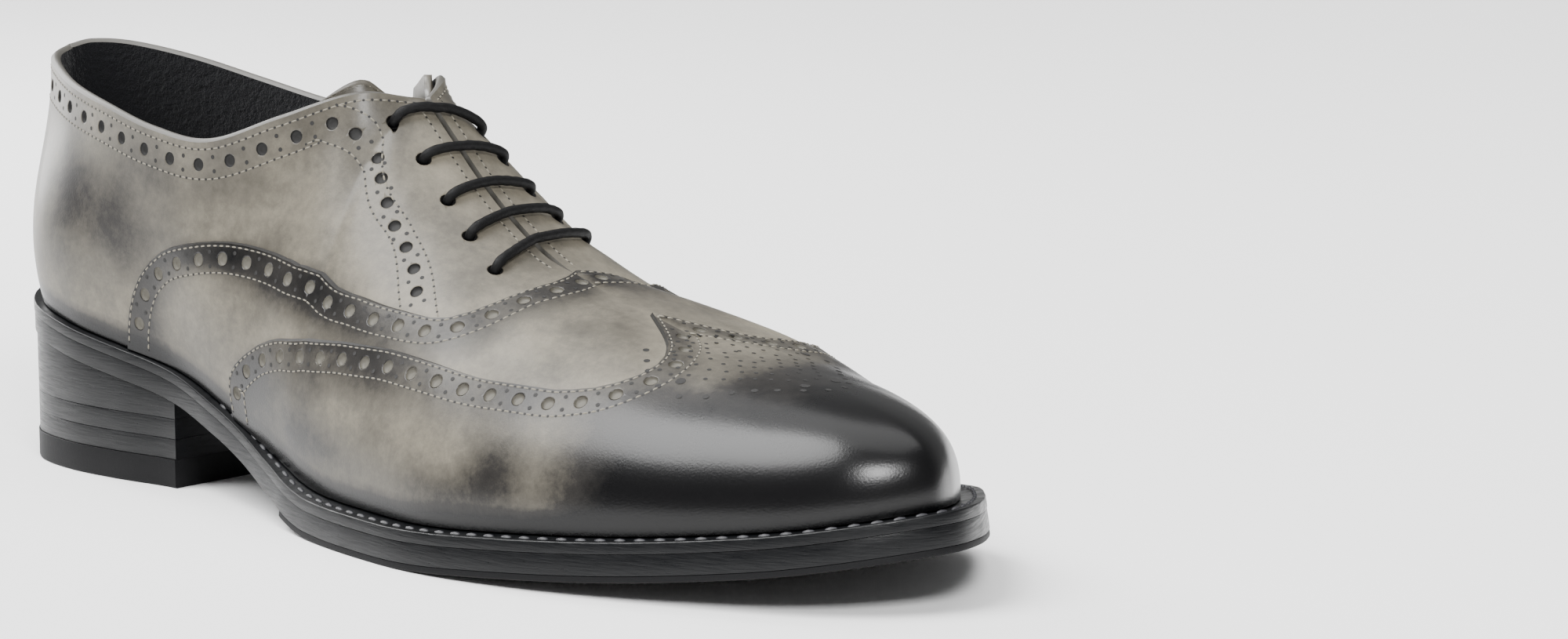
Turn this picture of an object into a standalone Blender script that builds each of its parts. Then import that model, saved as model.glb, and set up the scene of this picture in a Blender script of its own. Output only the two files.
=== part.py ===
# A right-foot wingtip dress shoe with five straight lace bars and a high stacked heel.
# Metres, +Z up, +X to the toe, -Y to the outer side of the foot. The origin is on the
# floor, in the middle of the sole's box.
from math import radians

import bmesh
import bpy
import numpy as np
from mathutils import Matrix, Vector
from mathutils.geometry import delaunay_2d_cdt

# Driving sizes of the last and the sole
SOLE_LENGTH = 0.305
BALL_WIDTH = 0.106
HEEL_WIDTH = 0.060
HEEL_RISE = 0.0327          # the heel seat over the forepart's
TOE_SPRING = 0.0133
BACK_HEIGHT = 0.0585        # the collar over the heel seat, at the back
INSTEP_HEIGHT = 0.0878      # the slit's top over the forepart's seat
AXIS_SHARE = 0.038          # the heel's centre line, as a share of BALL_WIDTH

# Thicknesses and clearances
WELT_THICKNESS = 0.0026
OUTSOLE_THICKNESS = 0.0045
RUBBER_THICKNESS = 0.0013
LAYER_GAP = 0.0003
UPPER_GAP = 0.0004          # between the welt and what stands on it
TOP_PIECE_THICKNESS = 0.0070
LIFT_THICKNESS = 0.0047
LIFTS = 2
INSOLE_THICKNESS = 0.0030
WALL = 0.0024
TONGUE_THICKNESS = 0.0018
OVERLAY_STEP = 0.0010       # the cut edge of an overlay over the leather below it

# Places and smaller sizes
HEEL_LENGTH = 0.0707
WELT_SHELF = 0.0135         # the welt's width, from the sole's edge inwards
FOREPART_FEATHER = 0.0056   # the sole's edge to the upper's foot, in the forepart
HEEL_FEATHER = 0.0022
INSOLE_CLEARANCE = 0.0010
OUTSOLE_SET = 0.0004        # the outsole's and the rubber's edge inside the welt's
HEEL_SET = 0.0006           # the heel lifts' edge inside the welt's
TOP_PIECE_SET = 0.0003
SOLE_FLARE = 0.0013         # the forepart's edge slopes out by this much to its floor side
EDGE_ROUNDING = 0.0005
LIFT_ROUNDING = 0.00025
SLIT_WIDTH = 0.0018
OVERLAY_FADE = 0.022        # over this width the step sinks back into the wall
EYELET_RADIUS = 0.0019
LACE_RADIUS = 0.0012
LACE_ROOM = 0.0026          # between the facings and the tongue, for the hidden runs
TONGUE_CLEARANCE = 0.0008
TONGUE_RISE = 0.0042        # the tongue's leaf beyond the facings' top edge
TONGUE_TIP = 0.25           # the share of that rise left at the slit
TONGUE_LOW = 0.60           # how far down the wall the tongue reaches, as up
TONGUE_FOOT_LOW = 0.84      # the same at its foot
TONGUE_BACK = 7.35          # the sections where the tongue's leaf starts and its foot ends
TONGUE_FOOT = 13.3
RUBBER_START = 8.7          # the section where the thin rubber sole ends at the waist

# Mesh fineness
SECTION_STEPS = 3           # edge points from one section to the next
INNER_STEPS = 2             # mesh columns of the wall from one section to the next
WALL_ROWS = 12
LINING_ROWS = 9
PATTERN_STEP = 0.0050


def table(names, rows):
    """Columns by name from a table with a row for each section."""
    return dict(zip(names.split(), np.array(rows, float).T))


# The sole's edge, a row for each section from the heel's back to the toe's tip, on both
# sides. along is a share of SOLE_LENGTH; heel and ball are shares of HEEL_WIDTH and
# BALL_WIDTH, whose sum is the distance from the box's middle line.
OUTLINE = table(
    "lateral_along lateral_heel lateral_ball medial_along medial_heel medial_ball",
    (
        (0.000, 0.000, 0.038, 0.000, 0.000, 0.038),
        (0.014, -0.225, 0.038, 0.014, 0.225, 0.038),
        (0.050, -0.395, 0.038, 0.050, 0.400, 0.038),
        (0.105, -0.475, 0.038, 0.105, 0.500, 0.038),
        (0.165, -0.485, 0.038, 0.165, 0.510, 0.038),
        (0.230, -0.465, 0.038, 0.230, 0.480, 0.038),
        (0.290, -0.440, -0.007, 0.290, 0.400, 0.038),
        (0.340, -0.400, -0.062, 0.340, 0.300, 0.070),
        (0.385, -0.300, -0.166, 0.385, 0.220, 0.130),
        (0.425, -0.200, -0.270, 0.430, 0.150, 0.195),
        (0.475, -0.100, -0.372, 0.485, 0.060, 0.285),
        (0.535, 0.000, -0.470, 0.560, 0.000, 0.380),
        (0.600, 0.000, -0.500, 0.645, 0.000, 0.455),
        (0.665, 0.000, -0.498, 0.725, 0.000, 0.487),
        (0.730, 0.000, -0.472, 0.795, 0.000, 0.474),
        (0.795, 0.000, -0.428, 0.848, 0.000, 0.441),
        (0.855, 0.000, -0.374, 0.893, 0.000, 0.388),
        (0.910, 0.000, -0.316, 0.933, 0.000, 0.278),
        (0.955, 0.000, -0.240, 0.966, 0.000, 0.166),
        (0.985, 0.000, -0.146, 0.990, 0.000, 0.060),
        (1.000, 0.000, -0.044, 1.000, 0.000, -0.044),
    ),
)

# The height of the welt's top over the forepart's, as shares of HEEL_RISE and TOE_SPRING.
SEAT = table(
    "along heel_rise toe_spring",
    (
        (0.00, 1.000, 0.00),
        (0.10, 0.835, 0.00),
        (0.20, 0.672, 0.00),
        (0.29, 0.445, 0.00),
        (0.38, 0.165, 0.00),
        (0.46, 0.010, 0.00),
        (0.50, 0.000, 0.00),
        (0.56, 0.000, 0.00),
        (0.61, 0.000, 0.03),
        (0.68, 0.000, 0.13),
        (0.78, 0.000, 0.29),
        (0.90, 0.000, 0.60),
        (1.00, 0.000, 1.00),
    ),
)

# The collar's edge, a row for each section from the back seam to the top of the slit.
# along is a share of SOLE_LENGTH, across of HEEL_WIDTH from the heel's centre line, and
# height of BACK_HEIGHT over the heel seat. Towards the slit it rises with the instep.
COLLAR = table(
    "lateral_along lateral_across lateral_height medial_along medial_across medial_height",
    (
        (0.0036, 0.000, 0.998, 0.0036, 0.000, 0.998),
        (0.0130, -0.117, 0.975, 0.0115, 0.108, 1.017),
        (0.0390, -0.210, 0.940, 0.0380, 0.233, 1.005),
        (0.0880, -0.333, 0.895, 0.0880, 0.358, 0.950),
        (0.1480, -0.425, 0.848, 0.1500, 0.460, 0.868),
        (0.2160, -0.472, 0.783, 0.2160, 0.515, 0.800),
        (0.2790, -0.458, 0.757, 0.2790, 0.515, 0.780),
        (0.3420, -0.370, 0.868, 0.3340, 0.460, 0.870),
        (0.3960, -0.190, 0.977, 0.3880, 0.330, 0.985),
        (0.4175, 0.072, 0.942, 0.4175, 0.102, 0.942),
    ),
)

# The ridge from the top of the slit to the crown of the toe, where the toe's sections
# meet. along is a share of SOLE_LENGTH, across of BALL_WIDTH, and height of INSTEP_HEIGHT
# over the forepart's seat.
RIDGE = table(
    "along across height",
    (
        (0.4175, 0.0870, 1.000),
        (0.4470, 0.0855, 0.900),
        (0.4790, 0.0820, 0.795),
        (0.5170, 0.0745, 0.697),
        (0.5575, 0.0660, 0.617),
        (0.6030, 0.0530, 0.569),
        (0.6600, 0.0300, 0.524),
        (0.7200, 0.0180, 0.478),
        (0.7830, 0.0120, 0.442),
        (0.8450, 0.0100, 0.412),
    ),
)

# The wall's profile at each section, from its foot to its top. rise: how far it stands
# up before it leans in, as a share of its height. swell: its belly, a share of
# BALL_WIDTH. over: how far it runs flat from the ridge, a share of the way to its foot.
# drop: how far it falls straight from the collar, a share of its height.
WALL_SHAPE = table(
    "lateral_rise lateral_swell lateral_over lateral_drop"
    " medial_rise medial_swell medial_over medial_drop",
    (
        (0.45, 0.057, 0.00, 0.40, 0.45, 0.057, 0.00, 0.40),
        (0.45, 0.057, 0.00, 0.40, 0.45, 0.057, 0.00, 0.40),
        (0.45, 0.057, 0.00, 0.40, 0.45, 0.057, 0.00, 0.40),
        (0.45, 0.057, 0.00, 0.40, 0.45, 0.057, 0.00, 0.40),
        (0.45, 0.057, 0.00, 0.40, 0.45, 0.066, 0.00, 0.40),
        (0.45, 0.057, 0.00, 0.38, 0.45, 0.075, 0.00, 0.38),
        (0.45, 0.057, 0.00, 0.36, 0.45, 0.085, 0.00, 0.36),
        (0.42, 0.057, 0.10, 0.30, 0.46, 0.094, 0.20, 0.28),
        (0.40, 0.057, 0.30, 0.16, 0.48, 0.104, 1.00, 0.12),
        (0.38, 0.057, 0.40, 0.00, 0.50, 0.123, 1.50, 0.00),
        (0.36, 0.057, 0.46, 0.00, 0.53, 0.132, 1.70, 0.00),
        (0.36, 0.057, 0.50, 0.00, 0.57, 0.132, 1.65, 0.00),
        (0.40, 0.047, 0.54, 0.00, 0.60, 0.118, 1.45, 0.00),
        (0.45, 0.038, 0.56, 0.00, 0.60, 0.085, 1.08, 0.00),
        (0.50, 0.028, 0.58, 0.00, 0.58, 0.047, 0.74, 0.00),
        (0.55, 0.019, 0.60, 0.00, 0.58, 0.019, 0.64, 0.00),
        (0.58, 0.009, 0.62, 0.00, 0.60, 0.008, 0.63, 0.00),
        (0.61, 0.004, 0.64, 0.00, 0.66, 0.008, 0.68, 0.00),
        (0.65, 0.006, 0.66, 0.00, 0.71, 0.009, 0.72, 0.00),
        (0.68, 0.008, 0.69, 0.00, 0.73, 0.009, 0.73, 0.00),
        (0.71, 0.009, 0.72, 0.00, 0.71, 0.009, 0.72, 0.00),
    ),
)
CROSS_SLOPE = 0.03          # the ridge's fall to the medial side

# The overlays' cut edges on one side, from the wall's foot to the ridge; the other side
# mirrors them. section counts along the rows above, up is 0 at the foot and 1 at the top.
VAMP_EDGE = table(
    "section up",
    (
        (4.18, 0.00),
        (4.30, 0.12),
        (4.48, 0.25),
        (4.76, 0.38),
        (5.24, 0.51),
        (5.84, 0.59),
        (6.35, 0.60),
        (7.02, 0.555),
        (8.07, 0.46),
        (9.24, 0.44),
        (10.16, 0.485),
        (10.93, 0.53),
        (11.42, 0.56),
        (11.80, 0.59),
        (12.13, 0.64),
        (12.53, 0.72),
        (12.91, 0.80),
        (13.30, 0.87),
        (13.54, 0.93),
        (13.66, 1.00),
    ),
)
WING_EDGE = table(
    "section up",
    (
        (6.48, 0.00),
        (6.53, 0.12),
        (6.86, 0.20),
        (7.37, 0.26),
        (8.05, 0.285),
        (8.96, 0.305),
        (10.14, 0.38),
        (11.14, 0.44),
        (12.05, 0.47),
        (12.85, 0.48),
        (13.80, 0.48),
        (14.30, 0.50),
        (14.72, 0.54),
        (15.14, 0.62),
        (15.40, 0.70),
        (15.54, 0.775),
        (15.58, 0.84),
        (15.50, 0.91),
        (15.30, 1.00),
    ),
)

# The eyelets on one side, as section and up, and how far each bar drifts to the toe, in
# sections, where it crosses the slit.
EYELETS = table(
    "section up drift",
    (
        (8.96, 0.833, 0.40),
        (9.94, 0.853, 0.35),
        (10.79, 0.850, 0.35),
        (11.51, 0.835, 0.35),
        (12.25, 0.818, 0.35),
    ),
)

SECTIONS = len(OUTLINE["lateral_along"])
LAST = SECTIONS - 1                         # the toe tip's section
LOOP = 2 * LAST                             # sections around the whole shoe
THROAT = len(COLLAR["lateral_along"]) - 1   # where the collar meets the slit
CROWN = THROAT + len(RIDGE["along"]) - 1    # from here on the sections meet in one point
SLIT_END = float(VAMP_EDGE["section"][-1])
SLIT_CLOSING = 0.6                          # sections over which the slit closes
FOREPART_THICKNESS = WELT_THICKNESS + OUTSOLE_THICKNESS + RUBBER_THICKNESS + 2 * LAYER_GAP
SEAT_BACK = FOREPART_THICKNESS + HEEL_RISE
HEEL_AXIS = AXIS_SHARE * BALL_WIDTH
UNROLLED = np.array((0.015, 0.075))         # mean sizes of a section and of the wall's height
SHARP_ANGLE = radians(35)

# The lace's way out of an eyelet: along the leather and over it.
LACE_BEND = table(
    "reach height",
    (
        (0.0000, -0.0018),
        (0.0000, -0.0006),
        (0.00015, 0.0004),
        (0.0007, 0.00121),
        (0.0016, 0.00160),
        (0.0032, 0.00172),
    ),
)


def smooth(x):
    """0 to 1 with flat ends."""
    x = np.clip(x, 0.0, 1.0)
    return x * x * (3.0 - 2.0 * x)


def curve(rows, at, around=False):
    """A Catmull-Rom curve through the rows, read at fractional row numbers."""
    rows = np.asarray(rows, float)
    at = np.asarray(at, float)
    if around:
        first = np.floor(at).astype(int)
        near = [rows[(first + k) % len(rows)] for k in (-1, 0, 1, 2)]
    else:
        first = np.clip(np.floor(at).astype(int), 0, len(rows) - 2)
        ends = [2 * rows[0] - rows[1]], rows, [2 * rows[-1] - rows[-2]]
        longer = np.concatenate(ends)
        near = [longer[first + k] for k in range(4)]
    t = at - first
    a, b, c, d = near
    return 0.5 * (2 * b + (c - a) * t + (2 * a - 5 * b + 4 * c - d) * t**2
                  + (3 * b - a - 3 * c + d) * t**3)


def along_sole(rows, column, x):
    """A column of a table with uneven rows, read at places x along the sole.

    The slope at a row is the harmonic mean of the slopes beside it, so level rows stay level.
    """
    places = (rows["along"] - 0.5) * SOLE_LENGTH
    values = rows[column]
    steps = np.diff(values) / np.diff(places)
    slopes = np.concatenate([steps[:1], np.zeros(len(steps) - 1), steps[-1:]])
    same_way = steps[:-1] * steps[1:] > 0
    sums = np.where(same_way, steps[:-1] + steps[1:], 1.0)
    slopes[1:-1] = np.where(same_way, 2 * steps[:-1] * steps[1:] / sums, 0.0)
    x = np.clip(x, places[0], places[-1])
    k = np.clip(np.searchsorted(places, x) - 1, 0, len(places) - 2)
    width = places[k + 1] - places[k]
    t = (x - places[k]) / width
    start = (1 + 2 * t) * (1 - t) ** 2 * values[k] + t * (1 - t) ** 2 * width * slopes[k]
    end = t**2 * (3 - 2 * t) * values[k + 1] + t**2 * (t - 1) * width * slopes[k + 1]
    return start + end


def seat(x):
    """The height of the welt's top, which carries the upper."""
    heel = HEEL_RISE * along_sole(SEAT, "heel_rise", x)
    toe = TOE_SPRING * along_sole(SEAT, "toe_spring", x)
    return FOREPART_THICKNESS + heel + toe


def around(rows, column):
    """A column for the whole loop: the lateral sections to the toe, the medial ones back."""
    return np.concatenate([rows["lateral_" + column], rows["medial_" + column][-2:0:-1]])


def outline(at):
    """The sole's edge, as x and y, at section numbers that count around the loop."""
    x = (around(OUTLINE, "along") - 0.5) * SOLE_LENGTH
    y = around(OUTLINE, "heel") * HEEL_WIDTH + around(OUTLINE, "ball") * BALL_WIDTH
    return np.stack([curve(x, at, True), curve(y, at, True)], -1)


def outward(at):
    """The level normal of the sole's edge, away from the shoe."""
    run = outline(at + 1e-3) - outline(at - 1e-3)
    normal = np.stack([run[..., 1], -run[..., 0]], -1)
    return normal / np.linalg.norm(normal, axis=-1, keepdims=True)


def section_of(at):
    """The section number and the side, -1 lateral and 1 medial, of a loop number."""
    at = np.mod(at, LOOP)
    lateral = at <= LAST
    return np.where(lateral, at, LOOP - at), np.where(lateral, -1.0, 1.0)


def feather(at):
    """How far inside the sole's edge the upper stands."""
    section, _ = section_of(at)
    return HEEL_FEATHER + (FOREPART_FEATHER - HEEL_FEATHER) * smooth((section - 6.0) / 5.0)


def flare(at, depth):
    """How far the forepart's edge slopes out, this deep under the welt's top."""
    section, _ = section_of(at)
    forepart = smooth((section - 6.0) / 5.0)
    return SOLE_FLARE * forepart * np.clip(depth / FOREPART_THICKNESS, 0, 1)


def foot(at):
    """The foot of the upper's outer face."""
    flat = outline(at) - outward(at) * feather(at)[..., None]
    height = seat(flat[..., 0]) + UPPER_GAP
    return np.concatenate([flat, height[..., None]], -1)


def ridge(section):
    """The line of the slit and the ridge, up to the toe's crown."""
    at = np.clip(section - THROAT, 0, CROWN - THROAT)
    x = (curve(RIDGE["along"], at) - 0.5) * SOLE_LENGTH
    y = curve(RIDGE["across"], at) * BALL_WIDTH
    z = FOREPART_THICKNESS + curve(RIDGE["height"], at) * INSTEP_HEIGHT
    return np.stack([x, y, z], -1)


def ridge_slope(section):
    """The ridge's rise over its run towards the toe."""
    section = np.clip(section, THROAT + 0.03, CROWN - 0.03)
    rise = ridge(section + 0.02) - ridge(section - 0.02)
    return rise[..., 2] / rise[..., 0]


def collar(section, side):
    """The collar's edge on one side."""
    row = np.clip(section, 0, THROAT)

    def column(name):
        lateral = curve(COLLAR["lateral_" + name], row)
        medial = curve(COLLAR["medial_" + name], row)
        return np.where(side < 0, lateral, medial)

    x = (column("along") - 0.5) * SOLE_LENGTH
    y = HEEL_AXIS + column("across") * HEEL_WIDTH
    z = SEAT_BACK + BACK_HEIGHT * column("height")
    slit_top = FOREPART_THICKNESS + INSTEP_HEIGHT * RIDGE["height"][0]
    from_seat = SEAT_BACK + BACK_HEIGHT * COLLAR["lateral_height"][-1]
    z = z + (slit_top - from_seat) * smooth(row / THROAT)
    return np.stack([x, y, z], -1)


def top(at):
    """The upper's top edge: the collar, then the slit's edge, then the ridge."""
    section, side = section_of(at)
    middle = ridge(section)
    closing = np.clip((SLIT_END - section) / SLIT_CLOSING, 0, 1)
    middle[..., 1] += side * SLIT_WIDTH / 2 * closing
    return np.where((section < THROAT)[..., None], collar(section, side), middle)


def wall(at, up):
    """The upper's outer face without its overlays: a cubic Bezier profile at each section.

    It starts upright at the foot, swells out, and ends leaning over to the ridge or
    falling straight from the collar.
    """
    at, up = np.broadcast_arrays(np.asarray(at, float), np.asarray(up, float))
    section, _ = section_of(at)
    low = foot(at)
    high = top(at)
    height = high[..., 2] - low[..., 2]
    flat = (low - high)[..., :2]
    rise, swell, over, drop = (
        curve(around(WALL_SHAPE, name), np.mod(at, LOOP), True)
        for name in ("rise", "swell", "over", "drop")
    )
    lean = ridge_slope(section) * flat[..., 0] - CROSS_SLOPE * flat[..., 1]
    lean = lean * smooth(section - THROAT + 1)
    belly = outward(at) * (swell * BALL_WIDTH)[..., None]
    second = low + np.concatenate([belly, (rise * height)[..., None]], -1)
    third = high + np.concatenate([flat, lean[..., None]], -1) * over[..., None]
    third[..., 2] -= drop * height
    t = up[..., None]
    return (
        (1 - t) ** 3 * low
        + 3 * (1 - t) ** 2 * t * second
        + 3 * (1 - t) * t**2 * third
        + t**3 * high
    )


def unit(vectors):
    """The vectors at length 1."""
    return vectors / np.maximum(np.linalg.norm(vectors, axis=-1, keepdims=True), 1e-12)


def wall_normal(at, up):
    """The wall's outward normal: level at the foot and the same on both sides of the ridge."""
    at, up = np.broadcast_arrays(np.asarray(at, float), np.asarray(up, float))
    section, _ = section_of(at)
    low = np.clip(up - 0.01, 0.0, 0.97)
    middle = low + 0.01
    across = wall(at, low + 0.02) - wall(at, low)
    along = wall(at + 0.01, middle) - wall(at - 0.01, middle)
    normal = unit(np.cross(along, across))
    slope = ridge_slope(section)
    level = np.full_like(slope, CROSS_SLOPE)
    over_ridge = unit(np.stack([-slope, level, np.ones_like(slope)], -1))
    level = np.zeros_like(slope)[..., None]
    at_foot = np.concatenate([outward(at), level], -1)
    near_ridge = smooth((up - 0.95) / 0.05) * smooth(section - THROAT + 1)
    near_foot = 1 - smooth(up / 0.12)
    rest = 1 - near_ridge - near_foot
    return unit(
        normal * rest[..., None]
        + over_ridge * near_ridge[..., None]
        + at_foot * near_foot[..., None]
    )


def surface(at, up, lift):
    """Points at a distance over the wall."""
    return wall(at, up) + wall_normal(at, up) * np.asarray(lift, float)[..., None]


def medial_section(x, up):
    """The section where the medial wall, this far up, has these places x."""
    sections = np.linspace(0, LAST, 801)
    x, up = np.broadcast_arrays(x, up)
    rows = [np.interp(place, wall(LOOP - sections, share)[:, 0], sections)
            for place, share in zip(x.ravel(), up.ravel())]
    return np.array(rows).reshape(x.shape)


def cut_edge(edge):
    """An overlay's cut edge on the lateral and the medial side, as loop numbers and up.

    The medial edge is as far along the shoe as the lateral one.
    """
    rows = np.linspace(0, len(edge["section"]) - 1, 12 * len(edge["section"]))
    section = curve(edge["section"], rows)
    up = np.clip(curve(edge["up"], rows), 0.0, 1.0)
    steps = np.linalg.norm(np.diff(wall(section, up), axis=0), axis=1)
    run = np.concatenate([[0], np.cumsum(steps)])
    places = np.linspace(0, run[-1], max(2, round(run[-1] / PATTERN_STEP)))
    lateral = np.stack([np.interp(places, run, section), np.interp(places, run, up)], -1)
    medial = lateral[::-1].copy()
    medial[1:, 0] = medial_section(wall(*medial[1:].T)[:, 0], medial[1:, 1])
    medial[:, 0] = LOOP - medial[:, 0]
    return lateral, medial


def inside(points, shape):
    """Which points lie inside a closed outline."""
    x, y = points.T
    found = np.zeros(len(points), bool)
    for a, b in zip(shape, np.roll(shape, -1, axis=0)):
        if a[1] == b[1]:
            continue
        crossing = a[0] + (y - a[1]) * (b[0] - a[0]) / (b[1] - a[1])
        found ^= ((a[1] > y) != (b[1] > y)) & (x < crossing)
    return found


def distance(points, line):
    """The distance of each point to a line of short runs."""
    best = np.full(len(points), np.inf)
    for a, b in zip(line[:-1], line[1:]):
        run = b - a
        t = np.clip((points - a) @ run / max(run @ run, 1e-18), 0, 1)
        best = np.minimum(best, np.linalg.norm(points - a - t[:, None] * run, axis=1))
    return best


def flat_pattern():
    """The wall unrolled: points, each one's lift by the overlays, and the edges kept.

    An overlay lifts the wall by OVERLAY_STEP at its cut edge and fades over OVERLAY_FADE.
    """
    halves = [[half * UNROLLED for half in cut_edge(edge)] for edge in (VAMP_EDGE, WING_EDGE)]
    lines = []
    for owner, cuts in enumerate(halves):
        for cut in cuts:
            run = unit(np.gradient(cut, axis=0))
            lip = cut + np.stack([run[:, 1], -run[:, 0]], -1) * OVERLAY_STEP / 2
            side = 1 if cut is cuts[0] else -1
            lip[[0, -1]] = cut[[0, -1]] + (side * OVERLAY_STEP / 2, 0)
            lines += [(cut, owner, 0.0), (lip, owner, OVERLAY_STEP)]
    ends = np.array([line[k] for line, _, _ in lines for k in (0, -1)])
    border = np.linspace(0, LOOP, LOOP * SECTION_STEPS + 1)
    border = np.concatenate([np.stack([border, np.full_like(border, up)], -1) for up in (0, 1)])
    border = border * UNROLLED
    near = np.linalg.norm(border[:, None] - ends[None], axis=-1).min(axis=1)
    border = border[near > PATTERN_STEP / 3]
    columns = np.linspace(0, LOOP, LOOP * INNER_STEPS + 1)
    ups = np.linspace(0, 1, WALL_ROWS + 2)[1:-1]
    grid = np.stack(np.meshgrid(columns, ups), -1).reshape(-1, 2)
    section, _ = section_of(grid[:, 0])
    grid = grid[(section < CROWN) | (grid[:, 1] < 0.9)] * UNROLLED
    clear = np.min([distance(grid, line) for line, _, _ in lines], axis=0)
    seam = np.isin(grid[:, 0], (0.0, LOOP * UNROLLED[0]))
    grid = grid[(clear > PATTERN_STEP / 2) | seam]
    points = np.concatenate([border, grid] + [line for line, _, _ in lines])
    lift = np.zeros(len(points))
    for owner, cuts in enumerate(halves):
        gap = np.minimum(distance(points, cuts[0]), distance(points, cuts[1]))
        step = OVERLAY_STEP * (1 - smooth(gap / OVERLAY_FADE))
        step[~inside(points, np.concatenate(cuts))] = 0.0
        first = len(border) + len(grid)
        for line, line_owner, height in lines:
            if line_owner == owner:
                step[first:first + len(line)] = height
            first += len(line)
        lift += step
    edges = []
    first = len(border) + len(grid)
    for line, _, _ in lines:
        edges += [(first + k, first + k + 1) for k in range(len(line) - 1)]
        first += len(line)
    return points, lift, edges


def triangles_between(points, edges):
    """Triangles over a flat set of points, keeping the given edges."""
    flat = [Vector(point * 1000) for point in points]
    found = delaunay_2d_cdt(flat, edges, [], 0, 1e-6, True)
    old = [origin[0] if origin else -1 for origin in found[3]]
    if min(old) < 0:
        raise ValueError("two kept edges cross in the flat pattern")
    return [[old[k] for k in face] for face in found[2]]


def ordered(points, up):
    """The numbers of the points along the pattern's foot, up 0, or its top, up 1."""
    found = np.flatnonzero(points[:, 1] == up * UNROLLED[1])
    return found[np.argsort(points[found, 0])]


def closed_mesh(name, points, faces):
    """A mesh without doubles, its faces pointing out."""
    mesh = bpy.data.meshes.new(name)
    mesh.from_pydata(np.asarray(points).tolist(), [], [[int(k) for k in face] for face in faces])
    work = bmesh.new()
    work.from_mesh(mesh)
    bmesh.ops.remove_doubles(work, verts=work.verts, dist=2e-6)
    bmesh.ops.recalc_face_normals(work, faces=work.faces)
    work.to_mesh(mesh)
    work.free()
    mesh.shade_smooth()
    mesh.set_sharp_from_angle(angle=SHARP_ANGLE)
    return mesh


def upper_mesh():
    """The upper as one shell: outer face, lining face, and the strips at collar and foot."""
    points, lift, edges = flat_pattern()
    faces = triangles_between(points, edges)
    at, up = (points / UNROLLED).T
    outer = surface(at, up, lift)
    on_border = np.isin(points[:, 1], (0.0, UNROLLED[1]))
    columns = np.linspace(0, LOOP, LOOP * INNER_STEPS + 1)
    ups = np.linspace(0, 1, LINING_ROWS + 2)[1:-1]
    grid = np.stack(np.meshgrid(columns, ups), -1).reshape(-1, 2)
    section, _ = section_of(grid[:, 0])
    grid = grid[(section < CROWN) | (grid[:, 1] < 0.9)] * UNROLLED
    lining_points = np.concatenate([points[on_border], grid])
    lining_faces = triangles_between(lining_points, [])
    lining_at, lining_up = (lining_points / UNROLLED).T
    lining = surface(lining_at, lining_up, np.full(len(lining_at), -WALL))
    under = lining_points[:, 1] == 0
    lining[under, 2] = seat(lining[under, 0]) + UPPER_GAP
    count = len(points)
    faces += [[count + k for k in face] for face in lining_faces]
    pair = dict(zip(np.flatnonzero(on_border), range(count, count + on_border.sum())))
    for rim in (0, 1):
        order = ordered(points, rim)
        for a, b in zip(order[:-1], order[1:]):
            section, _ = section_of((at[a] + at[b]) / 2)
            if rim == 0 or section < SLIT_END:
                faces.append([a, b, pair[b], pair[a]])
    return closed_mesh("upper", np.concatenate([outer, lining]), faces)


def slab(name, sections, levels, ring=0.0):
    """A layer of the sole: loops at (inset from the sole's edge, height of x), then caps.

    sections runs along one side and the other side mirrors it. With a ring width, the
    layer is a frame that wide.
    """
    at = np.concatenate([sections, (LOOP - sections)[::-1]])
    count = len(at)
    if ring:
        levels = levels + [(ring, levels[-1][1]), (ring, levels[0][1]), levels[0]]
    points = []
    for inset, height in levels:
        flat = outline(at) - outward(at) * np.broadcast_to(inset, at.shape)[..., None]
        rise = height(flat[:, 0])
        flat += outward(at) * flare(at, seat(flat[:, 0]) - rise)[:, None]
        points.append(np.concatenate([flat, rise[:, None]], -1))
    faces = []
    for level in range(len(levels) - 1):
        for k in range(count):
            a, b = level * count + k, level * count + (k + 1) % count
            faces.append([a, b, b + count, a + count])
    if not ring:
        for first in (0, (len(levels) - 1) * count):
            for k in range(len(sections) - 1):
                a, b = first + k, first + count - 1 - k
                faces += [[a, a + 1, b - 1], [a, b - 1, b]]
    return closed_mesh(name, np.concatenate(points), faces)


def layer(low, high, inset, rounding=EDGE_ROUNDING):
    """The levels of a layer between two heights, with its edges rounded off."""
    return [
        (inset + rounding, low),
        (inset, lambda x: low(x) + rounding),
        (inset, lambda x: high(x) - rounding),
        (inset + rounding, high),
    ]


def under_seat(depth):
    """A height that follows the seat."""
    return lambda x: seat(x) - depth


def level_at(height):
    """A height that is the same everywhere."""
    return lambda x: np.full_like(x, height)


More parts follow.
